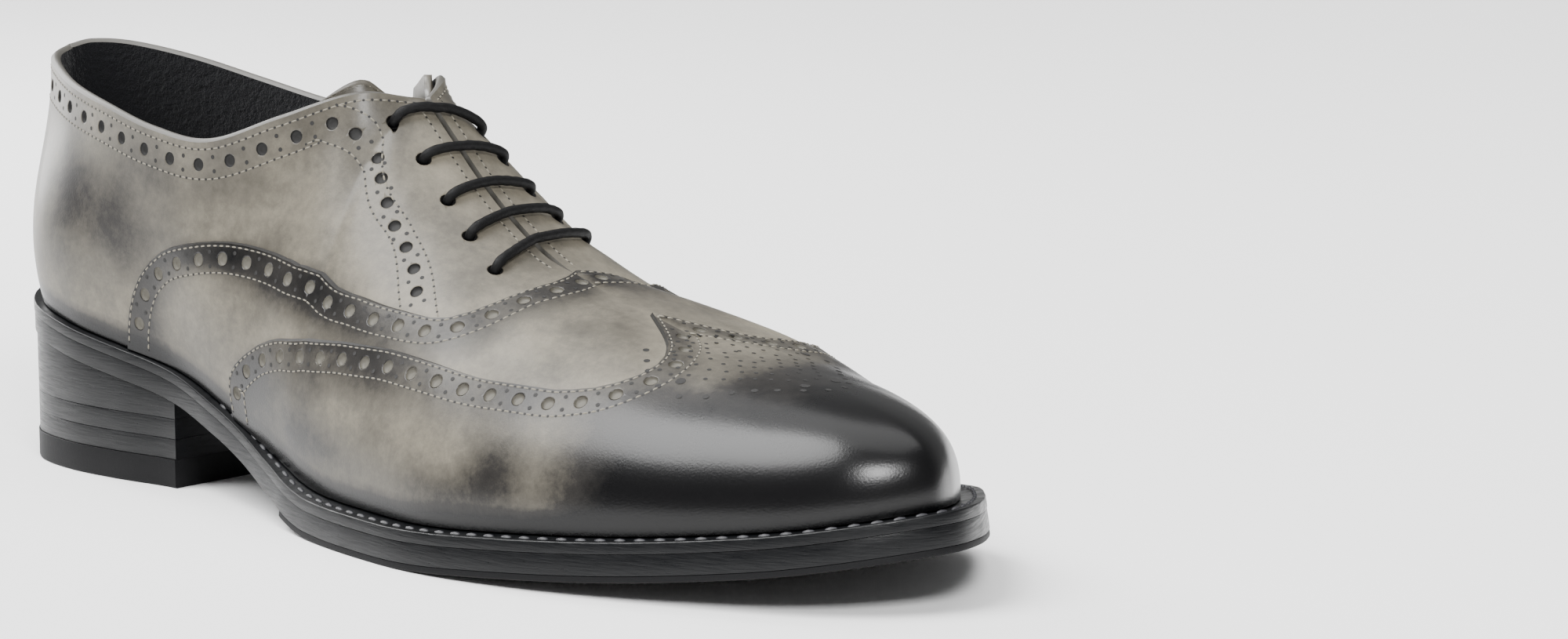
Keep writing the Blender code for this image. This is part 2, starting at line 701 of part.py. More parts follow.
def sole_meshes():
    """The welt, the outsole, the rubber under the forepart, the heel's layers, the insole."""
    whole = np.linspace(0, LAST, LAST * SECTION_STEPS + 1)
    sections = np.linspace(4, 7, 3001)
    breast = np.interp(HEEL_LENGTH - SOLE_LENGTH / 2, outline(sections)[:, 0], sections)
    heel = np.linspace(0, breast, 5 * SECTION_STEPS + 1)
    forepart = np.linspace(RUBBER_START, LAST, 11 * SECTION_STEPS + 1)
    found = []
    levels = layer(under_seat(WELT_THICKNESS), seat, 0.0)
    found.append(slab("welt", whole, levels, WELT_SHELF))
    outsole_top = WELT_THICKNESS + LAYER_GAP
    outsole_floor = outsole_top + OUTSOLE_THICKNESS
    levels = layer(under_seat(outsole_floor), under_seat(outsole_top), OUTSOLE_SET)
    found.append(slab("outsole", whole, levels))
    rubber_top = outsole_floor + LAYER_GAP
    levels = [
        (OUTSOLE_SET, under_seat(rubber_top + RUBBER_THICKNESS)),
        (OUTSOLE_SET, under_seat(rubber_top)),
    ]
    found.append(slab("half_sole", forepart, levels))
    height = TOP_PIECE_THICKNESS
    levels = layer(level_at(0.0), level_at(height), TOP_PIECE_SET)
    found.append(slab("heel_top_piece", heel, levels))
    for number in range(1, LIFTS + 1):
        low = height + LAYER_GAP
        height = low + LIFT_THICKNESS
        levels = layer(level_at(low), level_at(height), HEEL_SET, LIFT_ROUNDING)
        found.append(slab(f"heel_lift_{number}", heel, levels))
    levels = layer(level_at(height + LAYER_GAP), under_seat(rubber_top), HEEL_SET, LIFT_ROUNDING)
    found.append(slab("heel_wedge", heel, levels))
    at = np.concatenate([whole, (LOOP - whole)[::-1]])
    inset = feather(at) + WALL + INSOLE_CLEARANCE
    levels = [
        (inset, under_seat(-UPPER_GAP)),
        (inset, under_seat(-UPPER_GAP - INSOLE_THICKNESS + EDGE_ROUNDING)),
        (inset + EDGE_ROUNDING, under_seat(-UPPER_GAP - INSOLE_THICKNESS)),
    ]
    found.append(slab("insole", whole, levels))
    return found


def tongue_edge(section):
    """How low the tongue reaches under the facings, as up on the wall."""
    return TONGUE_LOW + (TONGUE_FOOT_LOW - TONGUE_LOW) * smooth((section - 11.5) / 1.8)


def tongue_depth(section, up):
    """The tongue's depth under the wall's outer face, with room for the lace's hidden runs."""
    eyelets = smooth((section - 8.2) / 0.6) * smooth((13.3 - section) / 0.8)
    band = smooth((up - 0.66) / 0.1) * smooth((1.0 - up) / 0.1)
    return WALL + TONGUE_CLEARANCE + LACE_ROOM * eyelets * band


def tongue_mesh():
    """The tongue's sheet under the slit, with a leaf that stands out past the collar."""
    sections = np.concatenate([np.linspace(TONGUE_BACK, THROAT, 6),
                               np.linspace(THROAT, TONGUE_FOOT, 9)[1:]])
    shares = np.linspace(0, 1, 6)
    points = []
    faces = []
    rows = len(shares) + 1
    for side in (-1, 1):
        first = len(points)
        for section in sections:
            at = section if side < 0 else LOOP - section
            up = 1 - (1 - tongue_edge(section)) * shares
            edge = surface(at, up, -tongue_depth(section, up))
            beside = max(THROAT - 0.05, 0) if section >= THROAT else section
            line = collar(np.array(beside + 0.02), side) - collar(np.array(beside - 0.02), side)
            share = smooth(section - THROAT + 1)
            along = unit(line * -side * (1 - share) / np.linalg.norm(line)
                         + np.array((0.0, share, 0.0)))
            rise = TONGUE_RISE * smooth((section - TONGUE_BACK + 0.15) / 0.9)
            rise *= 1 - (1 - TONGUE_TIP) * smooth((section - 8.2) / 0.7)
            way = unit(np.cross(wall_normal(at, 1.0), along))
            points.append(edge[0] + way * rise)
            points += list(edge)
        for k in range(len(sections) - 1):
            start = 0 if sections[k + 1] <= THROAT else 1
            for j in range(start, rows - 1):
                a = first + k * rows + j
                faces.append([a, a + rows, a + rows + 1, a + 1])
    half = len(sections) * rows
    throat = 5 * rows
    faces.append([throat, throat + 1, half + throat + 1, half + throat])
    for k in range(5, len(sections) - 1):
        a = k * rows + 1
        faces.append([a, a + rows, half + a + rows, half + a])
    used = sorted({k for face in faces for k in face})
    number = {old: new for new, old in enumerate(used)}
    mesh = bpy.data.meshes.new("tongue")
    flat = [points[k].tolist() for k in used]
    mesh.from_pydata(flat, [], [[number[k] for k in face] for face in faces])
    work = bmesh.new()
    work.from_mesh(mesh)
    bmesh.ops.recalc_face_normals(work, faces=work.faces)
    if sum(face.normal.z for face in work.faces) < 0:
        bmesh.ops.reverse_faces(work, faces=work.faces)
    work.to_mesh(mesh)
    work.free()
    mesh.shade_smooth()
    return mesh


def bar_places(section, up, drift, t):
    """Where a bar runs, as loop numbers and up, from each eyelet, t 0, to the slit, t 1.

    The medial half goes on in line with the lateral one, seen from above.
    """
    rise = up + (1 - up) * t
    crossing = ridge(np.array(section + drift))[0]
    x = crossing + (crossing - wall(section, up)[0]) * (1 - t)
    return (section + drift * t, rise), (LOOP - medial_section(x, rise), rise)


def lace_path(section, up, drift):
    """A bar's centre line, from inside one eyelet over the facings to the opposite one.

    Where the leather curves, it is lifted until it clears all of the wall near it.
    """
    t = np.linspace(0, 1, 81)
    bend = LACE_BEND["reach"]
    halves = []
    for at, rise in bar_places(section, up, drift, t):
        steps = np.linalg.norm(np.diff(wall(at, rise), axis=0), axis=1)
        run = np.concatenate([[0], np.cumsum(steps)])
        reach = np.concatenate([bend, np.linspace(bend[-1], run[-1], 5)[1:]])
        height = np.append(LACE_BEND["height"], np.full(4, LACE_BEND["height"][-1]))
        near = [
            wall(at + shift, np.minimum(rise + lower, 1.0))
            for shift in np.linspace(-0.5, 0.5, 11)
            for lower in np.linspace(-0.05, 0.05, 5)
        ]
        near = np.concatenate(near)
        places = np.interp(reach, run, at), np.interp(reach, run, rise)
        lift = height.copy()
        for _ in range(4):
            half = surface(*places, lift)
            gap = np.linalg.norm(half[:, None] - near, axis=-1).min(axis=1)
            lift += np.where(height > LACE_RADIUS, np.maximum(height - gap, 0.0), 0.0)
        halves.append(half)
    return np.concatenate([halves[0], halves[1][::-1]])


def paint(name, colour, roughness):
    """A plain material."""
    material = bpy.data.materials.new(name)
    material.use_nodes = True
    shader = material.node_tree.nodes["Principled BSDF"]
    shader.inputs["Base Color"].default_value = (*colour, 1.0)
    shader.inputs["Roughness"].default_value = roughness
    shader.inputs["Metallic"].default_value = 0.0
    return material


def place(name, data, material, collection):
    """A new object in a collection."""
    found = bpy.data.objects.new(name, data)
    data.materials.append(material)
    collection.objects.link(found)
    return found


def add_tongue(leather, collection):
    """The tongue, as thick as its leather."""
    tongue = place("tongue", tongue_mesh(), leather, collection)
    shell = tongue.modifiers.new("thickness", "SOLIDIFY")
    shell.thickness = TONGUE_THICKNESS
    shell.offset = -1.0
    shell.use_even_offset = True


def add_laces(cord, collection):
    """The lace's bars, one over each pair of eyelets."""
    for number, row in enumerate(zip(*EYELETS.values()), start=1):
        path = lace_path(*row)
        data = bpy.data.curves.new(f"lace_bar_{number}", "CURVE")
        data.dimensions = "3D"
        data.bevel_depth = LACE_RADIUS
        data.bevel_resolution = 2
        data.use_fill_caps = True
        spline = data.splines.new("POLY")
        spline.points.add(len(path) - 1)
        for point, place_of in zip(spline.points, path):
            point.co = (*place_of, 1.0)
        spline.use_smooth = True
        place(f"lace_bar_{number}", data, cord, collection)


def add_upper(leather, collection, helpers):
    """The upper, with its eyelets cut."""
    upper = place("upper", upper_mesh(), leather, collection)
    work = bmesh.new()
    for section, up, drift in zip(*EYELETS.values()):
        for at, _ in bar_places(section, up, drift, 0.0):
            centre = Vector(surface(at, up, -WALL / 2))
            turn = Vector((0, 0, 1)).rotation_difference(Vector(wall_normal(at, up)))
            placed = Matrix.Translation(centre) @ turn.to_matrix().to_4x4()
            bmesh.ops.create_cone(
                work,
                cap_ends=True,
                cap_tris=False,
                segments=12,
                radius1=EYELET_RADIUS,
                radius2=EYELET_RADIUS,
                depth=4 * WALL,
                matrix=placed,
            )
    data = bpy.data.meshes.new("eyelet_cutters")
    work.to_mesh(data)
    work.free()
    cutter = place("eyelet_cutters", data, leather, helpers)
    cutter.hide_render = True
    cutter.display_type = "WIRE"
    holes = upper.modifiers.new("eyelets", "BOOLEAN")
    holes.operation = "DIFFERENCE"
    holes.solver = "EXACT"
    holes.object = cutter


def main():
    """Clears the scene and builds the shoe."""
    for old in list(bpy.data.objects):
        bpy.data.objects.remove(old)
    shoe = bpy.data.collections.new("elevator_shoe")
    helpers = bpy.data.collections.new("cutters")
    bpy.context.scene.collection.children.link(shoe)
    bpy.context.scene.collection.children.link(helpers)
    helpers.hide_render = True
    leather = paint("upper_leather", (0.17, 0.15, 0.12), 0.42)
    lining = paint("lining_leather", (0.012, 0.012, 0.013), 0.6)
    sole = paint("sole_leather", (0.008, 0.009, 0.012), 0.35)
    rubber = paint("heel_rubber", (0.010, 0.010, 0.011), 0.7)
    cord = paint("lace_cord", (0.012, 0.012, 0.012), 0.55)
    materials = {
        "half_sole": rubber,
        "heel_top_piece": rubber,
        "insole": lining,
    }
    for mesh in sole_meshes():
        place(mesh.name, mesh, materials.get(mesh.name, sole), shoe)
    add_upper(leather, shoe, helpers)
    add_tongue(leather, shoe)
    add_laces(cord, shoe)


main()
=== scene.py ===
"""A right wingtip dress shoe dressed in its leather, thread, lace and sole.

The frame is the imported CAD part: +Z up, +X to the toe, -Y to the outer side of the foot,
metres. Every piece is worked out from the same tables of sections as the solids.
"""

from math import cos, pi, radians, sin

import bmesh
import bpy
import numpy as np
from bpy.props import FloatProperty, FloatVectorProperty, PointerProperty
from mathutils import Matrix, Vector
from mathutils.geometry import delaunay_2d_cdt


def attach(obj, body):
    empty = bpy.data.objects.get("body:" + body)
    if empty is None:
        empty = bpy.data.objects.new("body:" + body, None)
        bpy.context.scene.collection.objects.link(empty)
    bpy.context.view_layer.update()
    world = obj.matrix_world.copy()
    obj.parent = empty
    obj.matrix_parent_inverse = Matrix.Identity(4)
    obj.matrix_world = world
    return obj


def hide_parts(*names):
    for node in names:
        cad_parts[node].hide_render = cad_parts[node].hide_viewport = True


bl_info = {
    "name": "Wingtip Dress Shoe",
    "version": (1, 0, 0),
    "blender": (4, 5, 0),
    "location": "View3D > Sidebar > Shoe",
    "description": "Dresses the CAD solids of a wingtip shoe with leather, thread and lace",
    "category": "Object",
}

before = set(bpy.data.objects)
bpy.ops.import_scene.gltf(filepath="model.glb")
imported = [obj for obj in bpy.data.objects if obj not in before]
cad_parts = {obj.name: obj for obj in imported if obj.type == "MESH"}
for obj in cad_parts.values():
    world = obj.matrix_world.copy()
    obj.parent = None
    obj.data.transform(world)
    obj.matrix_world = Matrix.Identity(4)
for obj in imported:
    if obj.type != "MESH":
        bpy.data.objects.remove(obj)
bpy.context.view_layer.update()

# Driving sizes of the last and the sole
SOLE_LENGTH = 0.305
BALL_WIDTH = 0.106
HEEL_WIDTH = 0.060
HEEL_RISE = 0.0327          # the heel seat over the forepart's
TOE_SPRING = 0.0133
BACK_HEIGHT = 0.0585        # the collar over the heel seat, at the back
INSTEP_HEIGHT = 0.0878      # the slit's top over the forepart's seat
AXIS_SHARE = 0.038          # the heel's centre line, as a share of BALL_WIDTH

# Thicknesses and clearances
WELT_THICKNESS = 0.0026
OUTSOLE_THICKNESS = 0.0045
RUBBER_THICKNESS = 0.0013
LAYER_GAP = 0.0003
UPPER_GAP = 0.0004          # between the welt and what stands on it
TOP_PIECE_THICKNESS = 0.0070
LIFT_THICKNESS = 0.0047
LIFTS = 2
INSOLE_THICKNESS = 0.0030
WALL = 0.0024
TONGUE_THICKNESS = 0.0018
OVERLAY_STEP = 0.0010       # the cut edge of an overlay over the leather below it

# Places and smaller sizes
HEEL_LENGTH = 0.0707
WELT_SHELF = 0.0135         # the welt's width, from the sole's edge inwards
FOREPART_FEATHER = 0.0056   # the sole's edge to the upper's foot, in the forepart
HEEL_FEATHER = 0.0022
INSOLE_CLEARANCE = 0.0010
HEEL_SET = 0.0006           # the heel lifts' edge inside the welt's
TOP_PIECE_SET = 0.0003
SOLE_FLARE = 0.0013         # the forepart's edge slopes out by this much to its floor side
EDGE_ROUNDING = 0.0005
SLIT_WIDTH = 0.0018
OVERLAY_FADE = 0.022        # over this width the step sinks back into the wall
EYELET_RADIUS = 0.0019
LACE_RADIUS = 0.0012
LACE_ROOM = 0.0026          # between the facings and the tongue, for the hidden runs
TONGUE_CLEARANCE = 0.0008
TONGUE_RISE = 0.0042        # the tongue's leaf beyond the facings' top edge
TONGUE_TIP = 0.25           # the share of that rise left at the slit
TONGUE_LOW = 0.60           # how far down the wall the tongue reaches, as up
TONGUE_FOOT_LOW = 0.84      # the same at its foot
TONGUE_BACK = 7.35          # the sections where the tongue's leaf starts and its foot ends
TONGUE_FOOT = 13.3
RUBBER_START = 8.7          # the section where the thin rubber sole ends at the waist

# Mesh fineness
PATTERN_STEP = 0.0050


def table(names, rows):
    """Columns by name from a table with a row for each section."""
    return dict(zip(names.split(), np.array(rows, float).T))


# The sole's edge, a row for each section from the heel's back to the toe's tip, on both
# sides. along is a share of SOLE_LENGTH; heel and ball are shares of HEEL_WIDTH and
# BALL_WIDTH, whose sum is the distance from the box's middle line.
OUTLINE = table(
    "lateral_along lateral_heel lateral_ball medial_along medial_heel medial_ball",
    (
        (0.000, 0.000, 0.038, 0.000, 0.000, 0.038),
        (0.014, -0.225, 0.038, 0.014, 0.225, 0.038),
        (0.050, -0.395, 0.038, 0.050, 0.400, 0.038),
        (0.105, -0.475, 0.038, 0.105, 0.500, 0.038),
        (0.165, -0.485, 0.038, 0.165, 0.510, 0.038),
        (0.230, -0.465, 0.038, 0.230, 0.480, 0.038),
        (0.290, -0.440, -0.007, 0.290, 0.400, 0.038),
        (0.340, -0.400, -0.062, 0.340, 0.300, 0.070),
        (0.385, -0.300, -0.166, 0.385, 0.220, 0.130),
        (0.425, -0.200, -0.270, 0.430, 0.150, 0.195),
        (0.475, -0.100, -0.372, 0.485, 0.060, 0.285),
        (0.535, 0.000, -0.470, 0.560, 0.000, 0.380),
        (0.600, 0.000, -0.500, 0.645, 0.000, 0.455),
        (0.665, 0.000, -0.498, 0.725, 0.000, 0.487),
        (0.730, 0.000, -0.472, 0.795, 0.000, 0.474),
        (0.795, 0.000, -0.428, 0.848, 0.000, 0.441),
        (0.855, 0.000, -0.374, 0.893, 0.000, 0.388),
        (0.910, 0.000, -0.316, 0.933, 0.000, 0.278),
        (0.955, 0.000, -0.240, 0.966, 0.000, 0.166),
        (0.985, 0.000, -0.146, 0.990, 0.000, 0.060),
        (1.000, 0.000, -0.044, 1.000, 0.000, -0.044),
    ),
)

# The height of the welt's top over the forepart's, as shares of HEEL_RISE and TOE_SPRING.
SEAT = table(
    "along heel_rise toe_spring",
    (
        (0.00, 1.000, 0.00),
        (0.10, 0.835, 0.00),
        (0.20, 0.672, 0.00),
        (0.29, 0.445, 0.00),
        (0.38, 0.165, 0.00),
        (0.46, 0.010, 0.00),
        (0.50, 0.000, 0.00),
        (0.56, 0.000, 0.00),
        (0.61, 0.000, 0.03),
        (0.68, 0.000, 0.13),
        (0.78, 0.000, 0.29),
        (0.90, 0.000, 0.60),
        (1.00, 0.000, 1.00),
    ),
)

# The collar's edge, a row for each section from the back seam to the top of the slit.
# along is a share of SOLE_LENGTH, across of HEEL_WIDTH from the heel's centre line, and
# height of BACK_HEIGHT over the heel seat. Towards the slit it rises with the instep.
COLLAR = table(
    "lateral_along lateral_across lateral_height medial_along medial_across medial_height",
    (
        (0.0036, 0.000, 0.998, 0.0036, 0.000, 0.998),
        (0.0130, -0.117, 0.975, 0.0115, 0.108, 1.017),
        (0.0390, -0.210, 0.940, 0.0380, 0.233, 1.005),
        (0.0880, -0.333, 0.895, 0.0880, 0.358, 0.950),
        (0.1480, -0.425, 0.848, 0.1500, 0.460, 0.868),
        (0.2160, -0.472, 0.783, 0.2160, 0.515, 0.800),
        (0.2790, -0.458, 0.757, 0.2790, 0.515, 0.780),
        (0.3420, -0.370, 0.868, 0.3340, 0.460, 0.870),
        (0.3960, -0.190, 0.977, 0.3880, 0.330, 0.985),
        (0.4175, 0.072, 0.942, 0.4175, 0.102, 0.942),
    ),
)

# The ridge from the top of the slit to the crown of the toe, where the toe's sections
# meet. along is a share of SOLE_LENGTH, across of BALL_WIDTH, and height of INSTEP_HEIGHT
# over the forepart's seat.
RIDGE = table(
    "along across height",
    (
        (0.4175, 0.0870, 1.000),
        (0.4470, 0.0855, 0.900),
        (0.4790, 0.0820, 0.795),
        (0.5170, 0.0745, 0.697),
        (0.5575, 0.0660, 0.617),
        (0.6030, 0.0530, 0.569),
        (0.6600, 0.0300, 0.524),
        (0.7200, 0.0180, 0.478),
        (0.7830, 0.0120, 0.442),
        (0.8450, 0.0100, 0.412),
    ),
)

# The wall's profile at each section, from its foot to its top. rise: how far it stands
# up before it leans in, as a share of its height. swell: its belly, a share of
# BALL_WIDTH. over: how far it runs flat from the ridge, a share of the way to its foot.
# drop: how far it falls straight from the collar, a share of its height.
WALL_SHAPE = table(
    "lateral_rise lateral_swell lateral_over lateral_drop"
    " medial_rise medial_swell medial_over medial_drop",
    (
        (0.45, 0.057, 0.00, 0.40, 0.45, 0.057, 0.00, 0.40),
        (0.45, 0.057, 0.00, 0.40, 0.45, 0.057, 0.00, 0.40),
        (0.45, 0.057, 0.00, 0.40, 0.45, 0.057, 0.00, 0.40),
        (0.45, 0.057, 0.00, 0.40, 0.45, 0.057, 0.00, 0.40),
        (0.45, 0.057, 0.00, 0.40, 0.45, 0.066, 0.00, 0.40),
        (0.45, 0.057, 0.00, 0.38, 0.45, 0.075, 0.00, 0.38),
        (0.45, 0.057, 0.00, 0.36, 0.45, 0.085, 0.00, 0.36),
        (0.42, 0.057, 0.10, 0.30, 0.46, 0.094, 0.20, 0.28),
        (0.40, 0.057, 0.30, 0.16, 0.48, 0.104, 1.00, 0.12),
        (0.38, 0.057, 0.40, 0.00, 0.50, 0.123, 1.50, 0.00),
        (0.36, 0.057, 0.46, 0.00, 0.53, 0.132, 1.70, 0.00),
        (0.36, 0.057, 0.50, 0.00, 0.57, 0.132, 1.65, 0.00),
        (0.40, 0.047, 0.54, 0.00, 0.60, 0.118, 1.45, 0.00),
        (0.45, 0.038, 0.56, 0.00, 0.60, 0.085, 1.08, 0.00),
        (0.50, 0.028, 0.58, 0.00, 0.58, 0.047, 0.74, 0.00),
        (0.55, 0.019, 0.60, 0.00, 0.58, 0.019, 0.64, 0.00),
        (0.58, 0.009, 0.62, 0.00, 0.60, 0.008, 0.63, 0.00),
        (0.61, 0.004, 0.64, 0.00, 0.66, 0.008, 0.68, 0.00),
        (0.65, 0.006, 0.66, 0.00, 0.71, 0.009, 0.72, 0.00),
        (0.68, 0.008, 0.69, 0.00, 0.73, 0.009, 0.73, 0.00),
        (0.71, 0.009, 0.72, 0.00, 0.71, 0.009, 0.72, 0.00),
    ),
)
CROSS_SLOPE = 0.03          # the ridge's fall to the medial side

# The overlays' cut edges on one side, from the wall's foot to the ridge; the other side
# mirrors them. section counts along the rows above, up is 0 at the foot and 1 at the top.
VAMP_EDGE = table(
    "section up",
    (
        (4.18, 0.00),
        (4.30, 0.12),
        (4.48, 0.25),
        (4.76, 0.38),
        (5.24, 0.51),
        (5.84, 0.59),
        (6.35, 0.60),
        (7.02, 0.555),
        (8.07, 0.46),
        (9.24, 0.44),
        (10.16, 0.485),
        (10.93, 0.53),
        (11.42, 0.56),
        (11.80, 0.59),
        (12.13, 0.64),
        (12.53, 0.72),
        (12.91, 0.80),
        (13.30, 0.87),
        (13.54, 0.93),
        (13.66, 1.00),
    ),
)
WING_EDGE = table(
    "section up",
    (
        (6.48, 0.00),
        (6.53, 0.12),
        (6.86, 0.20),
        (7.37, 0.26),
        (8.05, 0.285),
        (8.96, 0.305),
        (10.14, 0.38),
        (11.14, 0.44),
        (12.05, 0.47),
        (12.85, 0.48),
        (13.80, 0.48),
        (14.30, 0.50),
        (14.72, 0.54),
        (15.14, 0.62),
        (15.40, 0.70),
        (15.54, 0.775),
        (15.58, 0.84),
        (15.50, 0.91),
        (15.30, 1.00),
    ),
)

# The eyelets on one side, as section and up, and how far each bar drifts to the toe, in
# sections, where it crosses the slit.
EYELETS = table(
    "section up drift",
    (
        (8.96, 0.833, 0.40),
        (9.94, 0.853, 0.35),
        (10.79, 0.850, 0.35),
        (11.51, 0.835, 0.35),
        (12.25, 0.818, 0.35),
    ),
)

SECTIONS = len(OUTLINE["lateral_along"])
LAST = SECTIONS - 1                         # the toe tip's section
LOOP = 2 * LAST                             # sections around the whole shoe
THROAT = len(COLLAR["lateral_along"]) - 1   # where the collar meets the slit
CROWN = THROAT + len(RIDGE["along"]) - 1    # from here on the sections meet in one point
SLIT_END = float(VAMP_EDGE["section"][-1])
SLIT_CLOSING = 0.6                          # sections over which the slit closes
FOREPART_THICKNESS = WELT_THICKNESS + OUTSOLE_THICKNESS + RUBBER_THICKNESS + 2 * LAYER_GAP
SEAT_BACK = FOREPART_THICKNESS + HEEL_RISE
HEEL_AXIS = AXIS_SHARE * BALL_WIDTH
UNROLLED = np.array((0.015, 0.075))         # mean sizes of a section and of the wall's height

# The lace's way out of an eyelet: along the leather and over it.
LACE_BEND = table(
    "reach height",
    (
        (0.0000, -0.0018),
        (0.0000, -0.0006),
        (0.00015, 0.0004),
        (0.0007, 0.00121),
        (0.0016, 0.00160),
        (0.0032, 0.00172),
    ),
)


def smooth(x):
    """0 to 1 with flat ends."""
    x = np.clip(x, 0.0, 1.0)
    return x * x * (3.0 - 2.0 * x)


def curve(rows, at, around=False):
    """A Catmull-Rom curve through the rows, read at fractional row numbers."""
    rows = np.asarray(rows, float)
    at = np.asarray(at, float)
    if around:
        first = np.floor(at).astype(int)
        near = [rows[(first + k) % len(rows)] for k in (-1, 0, 1, 2)]
    else:
        first = np.clip(np.floor(at).astype(int), 0, len(rows) - 2)
        ends = [2 * rows[0] - rows[1]], rows, [2 * rows[-1] - rows[-2]]
        longer = np.concatenate(ends)
        near = [longer[first + k] for k in range(4)]
    t = at - first
    a, b, c, d = near
    return 0.5 * (2 * b + (c - a) * t + (2 * a - 5 * b + 4 * c - d) * t**2
                  + (3 * b - a - 3 * c + d) * t**3)


def along_sole(rows, column, x):
    """A column of a table with uneven rows, read at places x along the sole.

    The slope at a row is the harmonic mean of the slopes beside it, so level rows stay level.
    """
    places = (rows["along"] - 0.5) * SOLE_LENGTH
    values = rows[column]
    steps = np.diff(values) / np.diff(places)
    slopes = np.concatenate([steps[:1], np.zeros(len(steps) - 1), steps[-1:]])
    same_way = steps[:-1] * steps[1:] > 0
    sums = np.where(same_way, steps[:-1] + steps[1:], 1.0)
    slopes[1:-1] = np.where(same_way, 2 * steps[:-1] * steps[1:] / sums, 0.0)
    x = np.clip(x, places[0], places[-1])
    k = np.clip(np.searchsorted(places, x) - 1, 0, len(places) - 2)
    width = places[k + 1] - places[k]
    t = (x - places[k]) / width
    start = (1 + 2 * t) * (1 - t) ** 2 * values[k] + t * (1 - t) ** 2 * width * slopes[k]
    end = t**2 * (3 - 2 * t) * values[k + 1] + t**2 * (t - 1) * width * slopes[k + 1]
    return start + end


def seat(x):
    """The height of the welt's top, which carries the upper."""
    heel = HEEL_RISE * along_sole(SEAT, "heel_rise", x)
    toe = TOE_SPRING * along_sole(SEAT, "toe_spring", x)
    return FOREPART_THICKNESS + heel + toe


def around(rows, column):
    """A column for the whole loop: the lateral sections to the toe, the medial ones back."""
    return np.concatenate([rows["lateral_" + column], rows["medial_" + column][-2:0:-1]])


def outline(at):
    """The sole's edge, as x and y, at section numbers that count around the loop."""
    x = (around(OUTLINE, "along") - 0.5) * SOLE_LENGTH
    y = around(OUTLINE, "heel") * HEEL_WIDTH + around(OUTLINE, "ball") * BALL_WIDTH
    return np.stack([curve(x, at, True), curve(y, at, True)], -1)


def outward(at):
    """The level normal of the sole's edge, away from the shoe."""
    run = outline(at + 1e-3) - outline(at - 1e-3)
    normal = np.stack([run[..., 1], -run[..., 0]], -1)
    return normal / np.linalg.norm(normal, axis=-1, keepdims=True)


def section_of(at):
    """The section number and the side, -1 lateral and 1 medial, of a loop number."""
    at = np.mod(at, LOOP)
    lateral = at <= LAST
    return np.where(lateral, at, LOOP - at), np.where(lateral, -1.0, 1.0)


def feather(at):
    """How far inside the sole's edge the upper stands."""
    section, _ = section_of(at)
    return HEEL_FEATHER + (FOREPART_FEATHER - HEEL_FEATHER) * smooth((section - 6.0) / 5.0)


def flare(at, depth):
    """How far the forepart's edge slopes out, this deep under the welt's top."""
    section, _ = section_of(at)
    forepart = smooth((section - 6.0) / 5.0)
    return SOLE_FLARE * forepart * np.clip(depth / FOREPART_THICKNESS, 0, 1)


def foot(at):
    """The foot of the upper's outer face."""
    flat = outline(at) - outward(at) * feather(at)[..., None]
    height = seat(flat[..., 0]) + UPPER_GAP
    return np.concatenate([flat, height[..., None]], -1)


def ridge(section):
    """The line of the slit and the ridge, up to the toe's crown."""
    at = np.clip(section - THROAT, 0, CROWN - THROAT)
    x = (curve(RIDGE["along"], at) - 0.5) * SOLE_LENGTH
    y = curve(RIDGE["across"], at) * BALL_WIDTH
    z = FOREPART_THICKNESS + curve(RIDGE["height"], at) * INSTEP_HEIGHT
    return np.stack([x, y, z], -1)


def ridge_slope(section):
    """The ridge's rise over its run towards the toe."""
    section = np.clip(section, THROAT + 0.03, CROWN - 0.03)
    rise = ridge(section + 0.02) - ridge(section - 0.02)
    return rise[..., 2] / rise[..., 0]


def collar(section, side):
    """The collar's edge on one side."""
    row = np.clip(section, 0, THROAT)

    def column(name):
        lateral = curve(COLLAR["lateral_" + name], row)
        medial = curve(COLLAR["medial_" + name], row)
        return np.where(side < 0, lateral, medial)

    x = (column("along") - 0.5) * SOLE_LENGTH
    y = HEEL_AXIS + column("across") * HEEL_WIDTH
    z = SEAT_BACK + BACK_HEIGHT * column("height")
    slit_top = FOREPART_THICKNESS + INSTEP_HEIGHT * RIDGE["height"][0]
    from_seat = SEAT_BACK + BACK_HEIGHT * COLLAR["lateral_height"][-1]
    z = z + (slit_top - from_seat) * smooth(row / THROAT)
    return np.stack([x, y, z], -1)


def top(at):
    """The upper's top edge: the collar, then the slit's edge, then the ridge."""
    section, side = section_of(at)
    middle = ridge(section)
    closing = np.clip((SLIT_END - section) / SLIT_CLOSING, 0, 1)
    middle[..., 1] += side * SLIT_WIDTH / 2 * closing
    return np.where((section < THROAT)[..., None], collar(section, side), middle)


def wall(at, up):
    """The upper's outer face without its overlays: a cubic Bezier profile at each section.

    It starts upright at the foot, swells out, and ends leaning over to the ridge or
    falling straight from the collar.
    """
    at, up = np.broadcast_arrays(np.asarray(at, float), np.asarray(up, float))
    section, _ = section_of(at)
    low = foot(at)
    high = top(at)
    height = high[..., 2] - low[..., 2]
    flat = (low - high)[..., :2]
    rise, swell, over, drop = (
        curve(around(WALL_SHAPE, name), np.mod(at, LOOP), True)
        for name in ("rise", "swell", "over", "drop")
    )
    lean = ridge_slope(section) * flat[..., 0] - CROSS_SLOPE * flat[..., 1]
    lean = lean * smooth(section - THROAT + 1)
    belly = outward(at) * (swell * BALL_WIDTH)[..., None]
    second = low + np.concatenate([belly, (rise * height)[..., None]], -1)
    third = high + np.concatenate([flat, lean[..., None]], -1) * over[..., None]
    third[..., 2] -= drop * height
    t = up[..., None]
    return (
        (1 - t) ** 3 * low
        + 3 * (1 - t) ** 2 * t * second
        + 3 * (1 - t) * t**2 * third
        + t**3 * high
    )


def unit(vectors):
    """The vectors at length 1."""
    return vectors / np.maximum(np.linalg.norm(vectors, axis=-1, keepdims=True), 1e-12)


